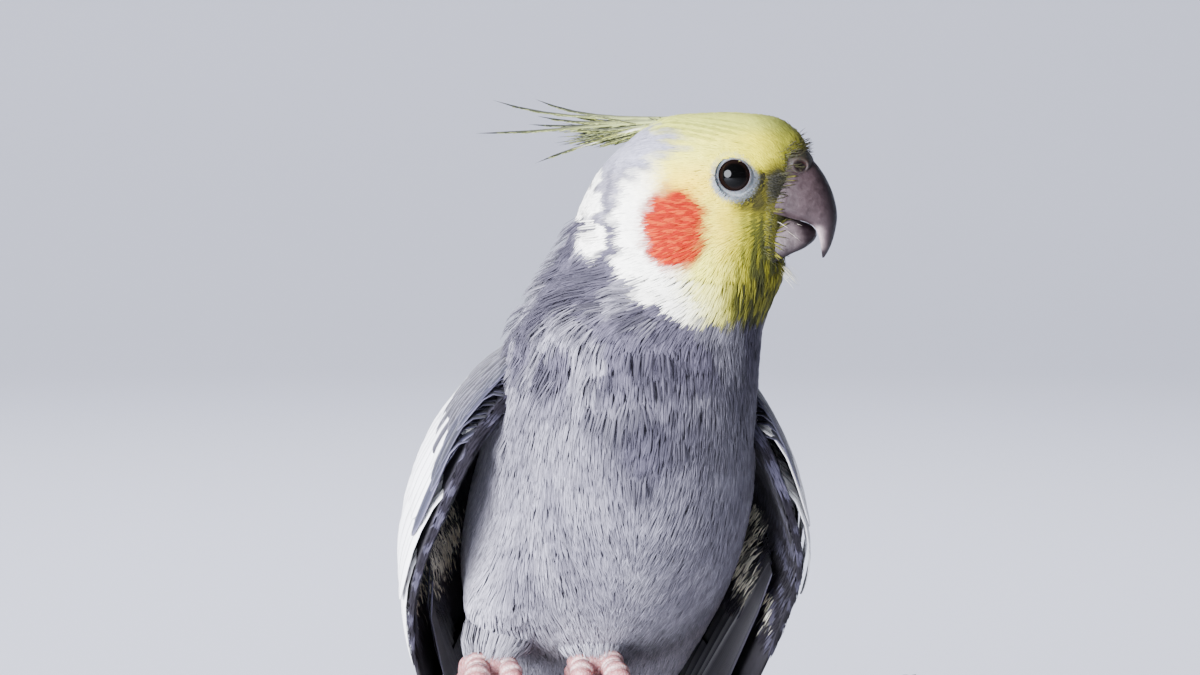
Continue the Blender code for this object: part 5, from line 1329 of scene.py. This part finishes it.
face_tree = BVHTree.FromPolygons(np.concatenate(face_corners).tolist(), np.concatenate(face_faces).tolist())
grown = []
for count, low, high, way, stand, reach, broad, colour in BRISTLES:
    root = bristle_draw.uniform(low, high, (count, 3))
    if "e9" in colour:
        root[:, 1] = np.sign(root[:, 1]) * np.maximum(np.abs(root[:, 1]), 0.2)
    seat = head_place(root[:, 0], root[:, 1], root[:, 2])
    spots = [plume_tree.find_nearest(Vector(place)) for place in seat]
    base = np.array([spot for spot, _, _, _ in spots])
    normal = np.array([face for _, face, _, _ in spots])
    heading = head_place(*np.array(way)[:, None] * np.ones(count)) - HEAD_CENTRE
    heading = heading - normal * (heading * normal).sum(1, keepdims=True) * (stand < 0.1)
    heading = heading + normal * stand + bristle_draw.normal(0, 0.06 + 0.32 * stand, (count, 3))
    heading /= np.linalg.norm(heading, axis=1, keepdims=True)
    steps = STRAND_SHARES[None, :, None] * (reach * bristle_draw.uniform(0.6, 1.2, count))[:, None, None]
    lines = base[:, None] - normal[:, None] * 0.2 + heading[:, None] * steps - UP * steps**2 * 0.04
    face_on = np.repeat(normal[:, None], len(STRAND_SHARES), axis=1)
    if stand < 0.1:
        lines, face_on = follow(base, heading, steps[:, -1, 0], STRAND_SHARES, face_tree)
        lines = lines + face_on * np.array([-0.4, 0.1, 0.22, 0.16])[:, None]
    thin = broad * np.array([1.0, 1.0, 0.7, 0.3])[None] * np.ones((count, 1))
    shades = np.ones((count, len(STRAND_SHARES), 1)) * np.array(linear(colour))
    if stand < 0.1:
        shades = shades * plumage(lines.reshape(-1, 3)).reshape(lines.shape) * bristle_draw.uniform(0.6, 0.95, (count, 1, 1))
    spots = np.stack([np.full(count, 0.62), np.linspace(0.86, 0.93, count)], -1)
    grown.append(strands(lines, face_on, thin, thin, shades, spots, 1.0))
corners, faces, tints, bake, _ = joined(grown)
mesh_piece("face_bristles", corners, faces, barb, ("head",), tints, bake)

# The eyes: glass-like balls, the iris so dark a brown that it reads as black, each in a
# bare ring of pale blue-grey skin with a thin brown lid rim, darker grey towards the bill
# and below as painted shade.
RING_AROUND, RING_ACROSS = 72, 16
LID_BROWN = np.array(linear("#20161a"))
RING_PALE = np.array(linear("#7e8488"))
RING_PAINTED_SHADE = np.array(linear("#393e3b"))
IRIS = np.array(linear("#100907"))
PUPIL = np.array(linear("#030303"))

eyeball, eyeball_shader = new_material("eye_glass", Roughness=0.05, IOR=1.4, Specular_IOR_Level=0.13)
link(
    eyeball, add(eyeball, "ShaderNodeAttribute", {"attribute_name": "tint"}, {}).outputs["Color"],
    eyeball_shader.inputs["Base Color"],
)

for word, side in (("left", 1), ("right", -1)):
    low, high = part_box(f"eye_{word}")
    centre = np.array((low + high) / 2) / MM - BIRD_PLACE
    start = Vector(head_place(EYE_PLACE[0], 0.0, EYE_PLACE[1]))
    hit, normal, _, _ = plume_tree.ray_cast(start, Vector(HEAD_LEFT * side))
    look = np.array(normal) * (1 if normal.dot(Vector(HEAD_LEFT * side)) > 0 else -1) * 0.5 + HEAD_LEFT * side
    look /= np.linalg.norm(look)
    ahead = HEAD_FORWARD - look * (HEAD_FORWARD @ look)
    ahead /= np.linalg.norm(ahead)
    upward = np.cross(look, ahead)
    upward *= np.sign(upward[2])
    corners = centre + sphere * EYE_RADIUS
    facing = (corners - centre) @ look / EYE_RADIUS
    pupil = smoothly(facing, 0.80, 0.86)[:, None]
    tints = IRIS * (1 - pupil) + PUPIL * pupil
    mesh_piece(f"eyeball_{word}", corners, sphere_triangles, eyeball, (f"eye_{word}",), tints)

    rings, tints = [], []
    for i in range(RING_ACROSS):
        share = i / (RING_ACROSS - 1)
        turn = np.arange(RING_AROUND) * 2 * np.pi / RING_AROUND
        far = 4.5 + 0.9 * smoothly(np.cos(turn + 0.75), 0.0, 1.0)
        reach = EYE_OPENING - 0.12 + (far - EYE_OPENING + 0.12) * share
        out = np.multiply.outer(np.cos(turn), ahead) + np.multiply.outer(np.sin(turn), upward)
        flat = centre + out * reach[:, None]
        ring = []
        for place in flat:
            spot, _, _, _ = plume_tree.ray_cast(Vector(place + look * 12), Vector(-look))
            ring.append((np.array(spot) - place) @ look if spot else 0.0)
        surface = np.array(ring) - 0.55
        lid = math.sqrt(max(EYE_RADIUS**2 - float(reach.min()) ** 2, 0)) + 0.28 if share < 0.3 else 2.6
        blend_in = smoothly(np.full(RING_AROUND, share), 0.05, 0.5)
        height = (lid + 0.12 * math.sin(math.pi * min(share * 3, 1))) * (1 - blend_in) + surface * blend_in
        height = height + 0.05 * np.sin(share * 26) * (1 - share)
        rings.append(flat + look * height[:, None])
        rim = math.exp(-((share / 0.10) ** 2))
        # Painted shade: the ring's outer part towards the bill and below is laid over with a darker grey
        ring_painted_shade = smoothly(np.cos(turn + 0.75), -0.2, 1.0) * smoothly(np.full(RING_AROUND, share), 0.35, 1.0)
        colour = RING_PALE * (1 - ring_painted_shade[:, None] * 0.8) + RING_PAINTED_SHADE * ring_painted_shade[:, None] * 0.8
        tints.append(colour * (1 - rim) + LID_BROWN * rim)
    outer = np.array(rings)
    under = outer - look * 0.35
    wall = np.concatenate([outer, under[::-1]])
    count = RING_AROUND
    i, j = np.meshgrid(np.arange(len(wall)), np.arange(count), indexing="ij")
    a, b = (i * count + j).ravel(), (i * count + (j + 1) % count).ravel()
    c, d = ((i + 1) % len(wall) * count + (j + 1) % count).ravel(), ((i + 1) % len(wall) * count + j).ravel()
    faces = np.concatenate([np.stack([a, b, c], -1), np.stack([a, c, d], -1)])
    corners = wall.reshape(-1, 3)
    if volume(corners, faces) < 0:
        faces = faces[:, ::-1]
    shades = np.concatenate([np.array(tints), np.array(tints)[::-1]]).reshape(-1, 3)
    mesh_piece(f"eye_ring_{word}", corners, faces, bare_skin, ("head",), shades)

    count = 1500
    lash_draw = np.random.default_rng(55)
    turn = lash_draw.uniform(-np.pi, np.pi, count)
    edge = np.interp(np.degrees(turn), RING_TURNS, RING_EDGES)
    reach = np.maximum(edge + lash_draw.uniform(-0.5, 0.8, count), 3.1)
    out = np.multiply.outer(np.cos(turn), ahead) + np.multiply.outer(np.sin(turn), upward)
    round_it = np.multiply.outer(-np.sin(turn), ahead) + np.multiply.outer(np.cos(turn), upward)
    seats = []
    for place in centre + out * reach[:, None]:
        spot, normal, _, _ = plume_tree.ray_cast(Vector(place + look * 12), Vector(-look))
        seats.append([np.array(spot) - look * 0.45, np.array(normal)])
    seats = np.array(seats)
    heading = -ahead * 1.0 + out * 0.25 + round_it * (-np.sign(np.sin(turn)) * 0.55)[:, None]
    heading = heading + lash_draw.normal(0, 0.18, (count, 3))
    heading -= seats[:, 1] * (heading * seats[:, 1]).sum(1, keepdims=True)
    heading /= np.linalg.norm(heading, axis=1, keepdims=True)
    steps = STRAND_SHARES[None, :, None] * lash_draw.uniform(0.6, 1.15, count)[:, None, None]
    lines = seats[:, :1] + heading[:, None] * steps + seats[:, 1:] * np.array([0, 0.35, 0.5, 0.5])[None, :, None]
    share = smoothly(reach - edge, -0.4, 0.5)[:, None]
    hue = (RING_PALE * 1.1) * (1 - share) + plumage(seats[:, 0] + out * 1.2) * share
    # Painted shade: the down round the eye is darker towards the bill and below
    front = smoothly(np.cos(turn + 0.6), 0.2, 1.0)[:, None]
    hue = hue * (1 - 0.5 * front) * lash_draw.uniform(0.85, 1.15, (count, 1))
    thin = 0.075 * STRAND_WIDTHS[None] * np.ones((count, 1))
    maps = np.stack([0.1 + turn / 80, 0.8 + reach / 60], -1)
    tints = np.repeat(hue[:, None], len(STRAND_SHARES), axis=1)
    corners, faces, tints, bake, lit = strands(
        lines, np.repeat(seats[:, 1:], len(STRAND_SHARES), axis=1), thin, thin * 0.6, tints, maps, 1.0
    )
    mesh_piece(f"eye_down_{word}", corners, faces, barb, ("head",), tints, bake, soft=lit)

# The feet: two toes forward and two back, round the perch, in pink scaled skin with a row
# of pale-edged plates along the top of each toe, and a curved horn claw at its end.
PERCH_RADIUS, PERCH_Y, PERCH_LENGTH = 8.0, -4.0, 112.0
FOOT_SPACING, TOE_START, CLAW_LENGTH, GAP = 17.2, 6.0, 6.0, 0.3
TOES = {  # way along the perch's top (1 is forward), root and tip offset, arc, radius
    "inner_front": (1, 2.2, 3.6, 58, 1.85),
    "outer_front": (1, -2.4, -4.4, 82, 2.1),
    "outer_back": (-1, -1.8, -5.2, 74, 1.95),
    "inner_back": (-1, 1.8, 3.0, 44, 1.75),
}
PLATE_LENGTH = 1.35  # mm
FOOT_PINK = np.array(linear("#a97a79"))
FOOT_PALE = np.array(linear("#cdb6b2"))
FOOT_RED = np.array(linear("#7d4443"))


def grip_points(x, degrees, distance):
    """Points round the perch, from its top towards the front, off its surface."""
    turn = np.radians(degrees)
    reach = PERCH_RADIUS + distance
    return np.stack([x, PERCH_Y - reach * np.sin(turn), -PERCH_RADIUS + reach * np.cos(turn)], -1)


def toe_line(foot_x, outward, toe, t):
    way, root_x, tip_x, arc, radius = TOES[toe]
    x = foot_x - outward * (root_x + (tip_x - root_x) * t)
    size = radius * (1.06 - 0.30 * t + 0.10 * np.cos(2 * np.pi * t * 3))
    height = GAP + size + 0.55 * np.sin(np.pi * np.minimum(t * 1.6, 1.0))
    return grip_points(x, way * (TOE_START + arc * t), height), size


def scaled_limb(points, sizes, upper, plate, sides=28):
    """A limb of scaled skin along points; plates step along the side that faces upper."""
    tangents = np.gradient(points, axis=0)
    tangents /= np.linalg.norm(tangents, axis=1, keepdims=True)
    top = upper - tangents * (upper * tangents).sum(1, keepdims=True)
    top /= np.linalg.norm(top, axis=1, keepdims=True)
    aside = np.cross(tangents, top)
    run = np.concatenate([[0], np.cumsum(np.linalg.norm(np.diff(points, axis=0), axis=1))])
    turn = np.arange(sides) * 2 * np.pi / sides
    facing = smoothly(np.cos(turn), -0.1, 0.5)
    step = (run / plate) % 1
    groove = np.exp(-((np.minimum(step, 1 - step) / 0.13) ** 2))
    swell = 1 + 0.05 * np.outer(np.sin(np.pi * step), facing) - 0.09 * np.outer(groove, facing * 0.8 + 0.2)
    radius = sizes[:, None] * swell
    rings = points[:, None] + top[:, None] * (np.cos(turn)[None] * radius)[..., None]
    rings = rings + aside[:, None] * (np.sin(turn)[None] * radius)[..., None]
    first, last = points[:1] - tangents[:1] * sizes[0] * 0.6, points[-1:] + tangents[-1:] * sizes[-1] * 0.6
    rounded = lambda ring, end: end[0] + (ring - ring.mean(0)) * 0.7
    rings = np.concatenate([
        np.repeat(first[:, None], sides, axis=1), rounded(rings[0], first * 0.35 + points[:1] * 0.65)[None], rings,
        rounded(rings[-1], last * 0.35 + points[-1:] * 0.65)[None], np.repeat(last[:, None], sides, axis=1),
    ])
    tone = np.outer(np.exp(-((step - 0.86) / 0.16) ** 2), facing)
    # The grooves between the plates darken towards a deep red: the skin's redder folds, and painted shade in the
    # creases
    fold_red_and_painted_shade = np.outer(groove, np.ones(sides))
    tints = FOOT_PINK[None, None] * (1 - tone[..., None]) + FOOT_PALE * tone[..., None]
    tints = tints * (1 - 0.6 * fold_red_and_painted_shade[..., None]) + FOOT_RED * 0.6 * fold_red_and_painted_shade[..., None]
    tints = np.concatenate([tints[:1], tints, tints[-1:]])
    ends = [tints[0].mean(0)[None], tints[-1].mean(0)[None]]
    corners, faces = closed_tube(rings)
    return corners, faces, np.concatenate([tints.reshape(-1, 3), *ends])


scaled_skin, scaled_shader = new_material("scaled_foot_skin", Roughness=0.5)
scaled_shader.inputs["Subsurface Weight"].default_value = 0.2
scaled_shader.inputs["Subsurface Scale"].default_value = 0.001
scaled_tint = add(scaled_skin, "ShaderNodeAttribute", {"attribute_name": "tint"}, {}).outputs["Color"]
scaled_place = add(scaled_skin, "ShaderNodeTexCoord", {}, {}).outputs["Object"]
scale_edges = add(
    scaled_skin, "ShaderNodeTexVoronoi", {"feature": "DISTANCE_TO_EDGE"}, {"Vector": scaled_place, "Scale": 1500.0}
).outputs["Distance"]
scale_tone = ramp(scaled_skin, scale_edges, [(0.0, (0.62, 0.5, 0.5)), (0.18, (1.0,) * 3)])
link(scaled_skin, shade(scaled_skin, scaled_tint, 1.0, scale_tone, "MULTIPLY"), scaled_shader.inputs["Base Color"])
scale_relief = add(scaled_skin, "ShaderNodeBump", {}, {"Height": scale_edges, "Strength": 0.5, "Distance": 0.00018})
link(scaled_skin, scale_relief.outputs[0], scaled_shader.inputs["Normal"])

claw_horn, claw_shader = new_material("claw_horn", Roughness=0.35)
claw_tint = add(claw_horn, "ShaderNodeAttribute", {"attribute_name": "tint"}, {}).outputs["Color"]
claw_place = add(claw_horn, "ShaderNodeTexCoord", {}, {}).outputs["Object"]
claw_grain = add(claw_horn, "ShaderNodeTexNoise", {}, {"Vector": claw_place, "Scale": 1500.0, "Detail": 2.0}).outputs[0]
claw_tone = ramp(claw_horn, claw_grain, [(0.3, (0.7,) * 3), (0.7, (1.0,) * 3)])
link(claw_horn, shade(claw_horn, claw_tint, 1.0, claw_tone, "MULTIPLY"), claw_shader.inputs["Base Color"])
CLAW_ROOT = np.array(linear("#7d6c69"))
CLAW_TIP = np.array(linear("#2a2423"))

for word, outward in (("left", 1), ("right", -1)):
    foot_x = outward * FOOT_SPACING / 2
    hub = grip_points(np.array([foot_x]), np.zeros(1), 2.7)[0]
    ankle = np.array([foot_x + (BODY_MID_X - foot_x) * 0.22, 8.0, 10.0])
    t = np.linspace(0, 1, 30)
    shank = hub * (1 - t)[:, None] + ankle * t[:, None]
    sizes = np.interp(t, [0, 0.33, 0.66, 1], [2.3, 2.0, 2.0, 2.5])
    limbs = [scaled_limb(shank, sizes, np.array([[0, -1.0, 0.2]]), 1.6)]
    t = np.linspace(0, 1, 72)
    for toe in TOES:
        points, sizes = toe_line(foot_x, outward, toe, t)
        upper = points - np.stack([points[:, 0], np.full(72, PERCH_Y), np.full(72, -PERCH_RADIUS)], -1)
        limbs.append(scaled_limb(points, sizes, upper, PLATE_LENGTH))
        way = points[-1] - points[-2]
        way /= np.linalg.norm(way)
        inward = np.array([points[-1, 0], PERCH_Y, -PERCH_RADIUS]) - points[-1]
        inward /= np.linalg.norm(inward)
        start = points[-1] + way * (sizes[-1] * 0.35) + inward * -0.1
        bend = np.linspace(0, 1, 16)[:, None]
        line = start + way * CLAW_LENGTH * 1.08 * bend + inward * (2.7 * bend**2 - 0.9 * bend)
        thin = 1.12 * (1 - bend[:, 0]) ** 0.7 + 0.13
        corners, faces, _ = scaled_limb(line, thin, -inward[None] * np.ones((16, 1)), 50.0, 16)
        far = smoothly(np.linalg.norm(corners - start, axis=1), 0.5, CLAW_LENGTH)[:, None]
        mesh_piece(
            f"claw_horn_{word}_{toe}", corners, faces, claw_horn, (f"claw_{word}_{toe}",),
            CLAW_ROOT * (1 - far) + CLAW_TIP * far,
        )
    ball_corners = hub + sphere * (4.3, 3.1, 2.3)
    ball_tints = FOOT_PINK * (0.85 + 0.3 * mottle(ball_corners, 1.2, 71))[:, None]
    limbs.append((ball_corners, sphere_triangles, ball_tints))
    corners, faces, tints = joined(limbs)
    mesh_piece(f"foot_{word}", corners, faces, scaled_skin, (f"leg_{word}",), tints)

    # Short soft feathers hang round the shank, from the thigh down to the toes
    leg_draw = np.random.default_rng(75)
    count = 1100
    turn, layer = leg_draw.uniform(0, 2 * np.pi, count), leg_draw.uniform(0, 1, count)
    around = np.stack([np.sin(turn), -np.cos(turn), 0 * turn], -1)
    top = ankle * 0.8 + hub * 0.2 + around * (5.9 - 2.0 * layer)[:, None]
    top += UP * leg_draw.uniform(-1.5, 3.5, count)[:, None]
    foot = hub * 0.94 + ankle * 0.06 + around * (5.0 - 1.7 * layer)[:, None]
    foot += UP * leg_draw.uniform(0.2, 2.6, count)[:, None]
    lines = top[:, None] + (foot - top)[:, None] * STRAND_SHARES[None, :, None]
    lines = lines + around[:, None] * (np.array([0, 0.9, 0.8, 0.0]))[None, :, None]
    broad = 0.15 * STRAND_WIDTHS[None] * np.ones((count, 1))
    hue = PALE_GREY * leg_draw.uniform(0.75, 1.05, (count, 1))
    # Painted shade: each leg strand darkens towards its root under the belly
    tints = hue[:, None] * np.array([0.7, 0.85, 1.0, 1.0])[None, :, None]
    maps = np.stack([0.3 + turn / 90, 0.32 + 0.05 * layer], -1)
    corners, faces, tints, bake, lit = strands(
        lines, np.repeat(around[:, None], len(STRAND_SHARES), axis=1), broad, broad * 0.5, tints, maps, 1.06
    )
    mesh_piece(f"leg_feathers_{word}", corners, faces, barb, ("torso",), tints, bake, soft=lit)

# The perch: a cut length of branch with its rough, flaking bark on and both ends sawn.
BRANCH_X = 8.0  # the branch's middle, in the bird's frame
BARK_ROWS, BARK_SIDES = 220, 120
bark_x = BRANCH_X + PERCH_LENGTH * np.linspace(-0.5, 0.5, BARK_ROWS)
bark_turn = np.arange(BARK_SIDES) * 2 * np.pi / BARK_SIDES
share = np.linspace(0, 1, BARK_ROWS)[:, None]
away = 1 - np.exp(-((bark_x[:, None] / 26.0) ** 2))
knot = 0.35 * np.sin(2 * bark_turn + 5 * share) + 0.3 * np.sin(3 * bark_turn - 11 * share) - 0.65
flat_radius = PERCH_RADIUS + knot * away
ring_way = np.stack([0 * bark_turn, np.sin(bark_turn), np.cos(bark_turn)], -1)
bark = np.stack([np.broadcast_to(bark_x[:, None], knot.shape)] + [0 * knot + c for c in (PERCH_Y, -PERCH_RADIUS)], -1)
smooth_bark = bark + ring_way[None] * flat_radius[..., None]
flat_places = smooth_bark.reshape(-1, 3)
ridges = mottle(flat_places * np.array([0.35, 1, 1]), 1.5, 81) + 0.6 * mottle(flat_places * np.array([0.6, 1, 1]), 0.7, 82)
pits = smoothly(mottle(flat_places, 3.2, 83), 0.62, 0.9)
relief = (ridges * 0.42 - 0.55 - pits * 0.35).reshape(knot.shape)
bark = bark + ring_way[None] * (flat_radius + relief)[..., None]
ends = [bark[:1] * 0 + bark[k][None].mean(1, keepdims=True) for k in (0, -1)]
corners, faces = closed_tube(np.concatenate([ends[0], bark, ends[1]]))
BARK_DARK = np.array(linear("#4c3f3a"))
BARK_MID = np.array(linear("#7a6557"))
BARK_PALE = np.array(linear("#a99c90"))
# The furrows of low relief are darker than the ridges: partly the bark's own colour, partly painted shade in the
# recesses
tone = smoothly(relief.ravel(), -0.7, 0.15)[:, None]
fleck = smoothly(mottle(flat_places, 1.0, 84), 0.72, 0.9)[:, None] * 0.8
bark_tints = BARK_DARK * (1 - tone) + BARK_MID * tone
bark_tints = bark_tints * (1 - fleck) + BARK_PALE * fleck
bark_tints = np.concatenate([bark_tints, [BARK_MID, BARK_MID]])

rough_bark, bark_shader = new_material("flaking_bark", Roughness=0.9)
bark_tint = add(rough_bark, "ShaderNodeAttribute", {"attribute_name": "tint"}, {}).outputs["Color"]
bark_place = add(rough_bark, "ShaderNodeTexCoord", {}, {}).outputs["Object"]
bark_grain = add(rough_bark, "ShaderNodeTexNoise", {}, {"Vector": bark_place, "Scale": 900.0, "Detail": 5.0}).outputs[0]
bark_tone = ramp(rough_bark, bark_grain, [(0.3, (0.55,) * 3), (0.7, (1.0,) * 3)])
link(rough_bark, shade(rough_bark, bark_tint, 1.0, bark_tone, "MULTIPLY"), bark_shader.inputs["Base Color"])
bark_relief = add(rough_bark, "ShaderNodeBump", {}, {"Height": bark_grain, "Strength": 0.7, "Distance": 0.0004})
link(rough_bark, bark_relief.outputs[0], bark_shader.inputs["Normal"])

sawn_end, sawn_shader = new_material("sawn_end_grain", Roughness=0.75)
sawn_place = add(sawn_end, "ShaderNodeTexCoord", {}, {}).outputs["Object"]
axis = [(BIRD_PLACE[1] + PERCH_Y) * MM, (BIRD_PLACE[2] - PERCH_RADIUS) * MM]
centred = add(
    sawn_end, "ShaderNodeMapping", {}, {0: sawn_place, "Location": (0.0, -axis[0], -axis[1])}
).outputs[0]
growth_rings = add(
    sawn_end, "ShaderNodeTexWave", {"wave_type": "RINGS", "rings_direction": "X"},
    {"Vector": centred, "Scale": 260.0, "Distortion": 2.5, "Detail": 3.0, "Detail Scale": 1.2},
).outputs[1]
sawn_colour = ramp(sawn_end, growth_rings, [(0.0, linear("#8a6448")), (1.0, linear("#c39a74"))])
link(sawn_end, sawn_colour, sawn_shader.inputs["Base Color"])
sawn_relief = add(sawn_end, "ShaderNodeBump", {}, {"Height": growth_rings, "Strength": 0.25, "Distance": 0.0002})
link(sawn_end, sawn_relief.outputs[0], sawn_shader.inputs["Normal"])

branch = mesh_piece("perch_branch", corners, faces, rough_bark, ("perch",), bark_tints)
branch.data.materials.append(sawn_end)
poles = len(corners) - 2
for polygon in branch.data.polygons:
    if max(polygon.vertices) >= poles:
        polygon.material_index, polygon.use_smooth = 1, False

# The stand: a slab of dark oiled wood and two turned, brushed brass rods that cradle the
# branch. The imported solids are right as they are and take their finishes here.
oiled_wood, wood_shader = new_material("oiled_walnut", Roughness=0.38)
wood_place = add(oiled_wood, "ShaderNodeTexCoord", {}, {}).outputs["Object"]
stretched = add(oiled_wood, "ShaderNodeMapping", {}, {0: wood_place, "Scale": (1.0, 0.09, 1.0)}).outputs[0]
figure = add(
    oiled_wood, "ShaderNodeTexNoise", {}, {"Vector": stretched, "Scale": 190.0, "Detail": 6.0, "Distortion": 0.6}
).outputs[0]
wood_colour = ramp(
    oiled_wood, figure, [(0.30, linear("#2f1d13")), (0.5, linear("#553725")), (0.72, linear("#7d563a"))]
)
wood_pores = add(
    oiled_wood, "ShaderNodeTexNoise", {}, {"Vector": stretched, "Scale": 1500.0, "Detail": 2.0}
).outputs[0]
pore_dark = ramp(oiled_wood, wood_pores, [(0.38, (0.45,) * 3), (0.5, (1.0,) * 3)])
link(oiled_wood, shade(oiled_wood, wood_colour, 1.0, pore_dark, "MULTIPLY"), wood_shader.inputs["Base Color"])
wood_gloss = add(oiled_wood, "ShaderNodeMapRange", {}, {0: figure, 1: 0.3, 2: 0.7, 3: 0.45, 4: 0.3}).outputs[0]
link(oiled_wood, wood_gloss, wood_shader.inputs["Roughness"])
wood_relief = add(oiled_wood, "ShaderNodeBump", {}, {"Height": wood_pores, "Strength": 0.2, "Distance": 0.0001})
link(oiled_wood, wood_relief.outputs[0], wood_shader.inputs["Normal"])

brushed_brass, brass_shader = new_material("brushed_brass", Metallic=1.0, Roughness=0.32)
brass_place = add(brushed_brass, "ShaderNodeTexCoord", {}, {}).outputs["Object"]
turned_marks = add(brushed_brass, "ShaderNodeMapping", {}, {0: brass_place, "Scale": (0.1, 0.1, 1.0)}).outputs[0]
brushing = add(
    brushed_brass, "ShaderNodeTexNoise", {}, {"Vector": turned_marks, "Scale": 4200.0, "Detail": 2.0}
).outputs[0]
tarnish = add(brushed_brass, "ShaderNodeTexNoise", {}, {"Vector": brass_place, "Scale": 120.0, "Detail": 3.0}).outputs[0]
brass_colour = ramp(brushed_brass, tarnish, [(0.3, linear("#a88a55")), (0.7, linear("#d2b57a"))])
link(brushed_brass, brass_colour, brass_shader.inputs["Base Color"])
brass_gloss = add(brushed_brass, "ShaderNodeMapRange", {}, {0: brushing, 1: 0.3, 2: 0.7, 3: 0.24, 4: 0.42}).outputs[0]
link(brushed_brass, brass_gloss, brass_shader.inputs["Roughness"])
brass_relief = add(brushed_brass, "ShaderNodeBump", {}, {"Height": brushing, "Strength": 0.1, "Distance": 0.00005})
link(brushed_brass, brass_relief.outputs[0], brass_shader.inputs["Normal"])

for node, finish in (("stand_base", oiled_wood), ("stand_rod_left", brushed_brass), ("stand_rod_right", brushed_brass)):
    for material_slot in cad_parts[node].material_slots:
        material_slot.material = finish
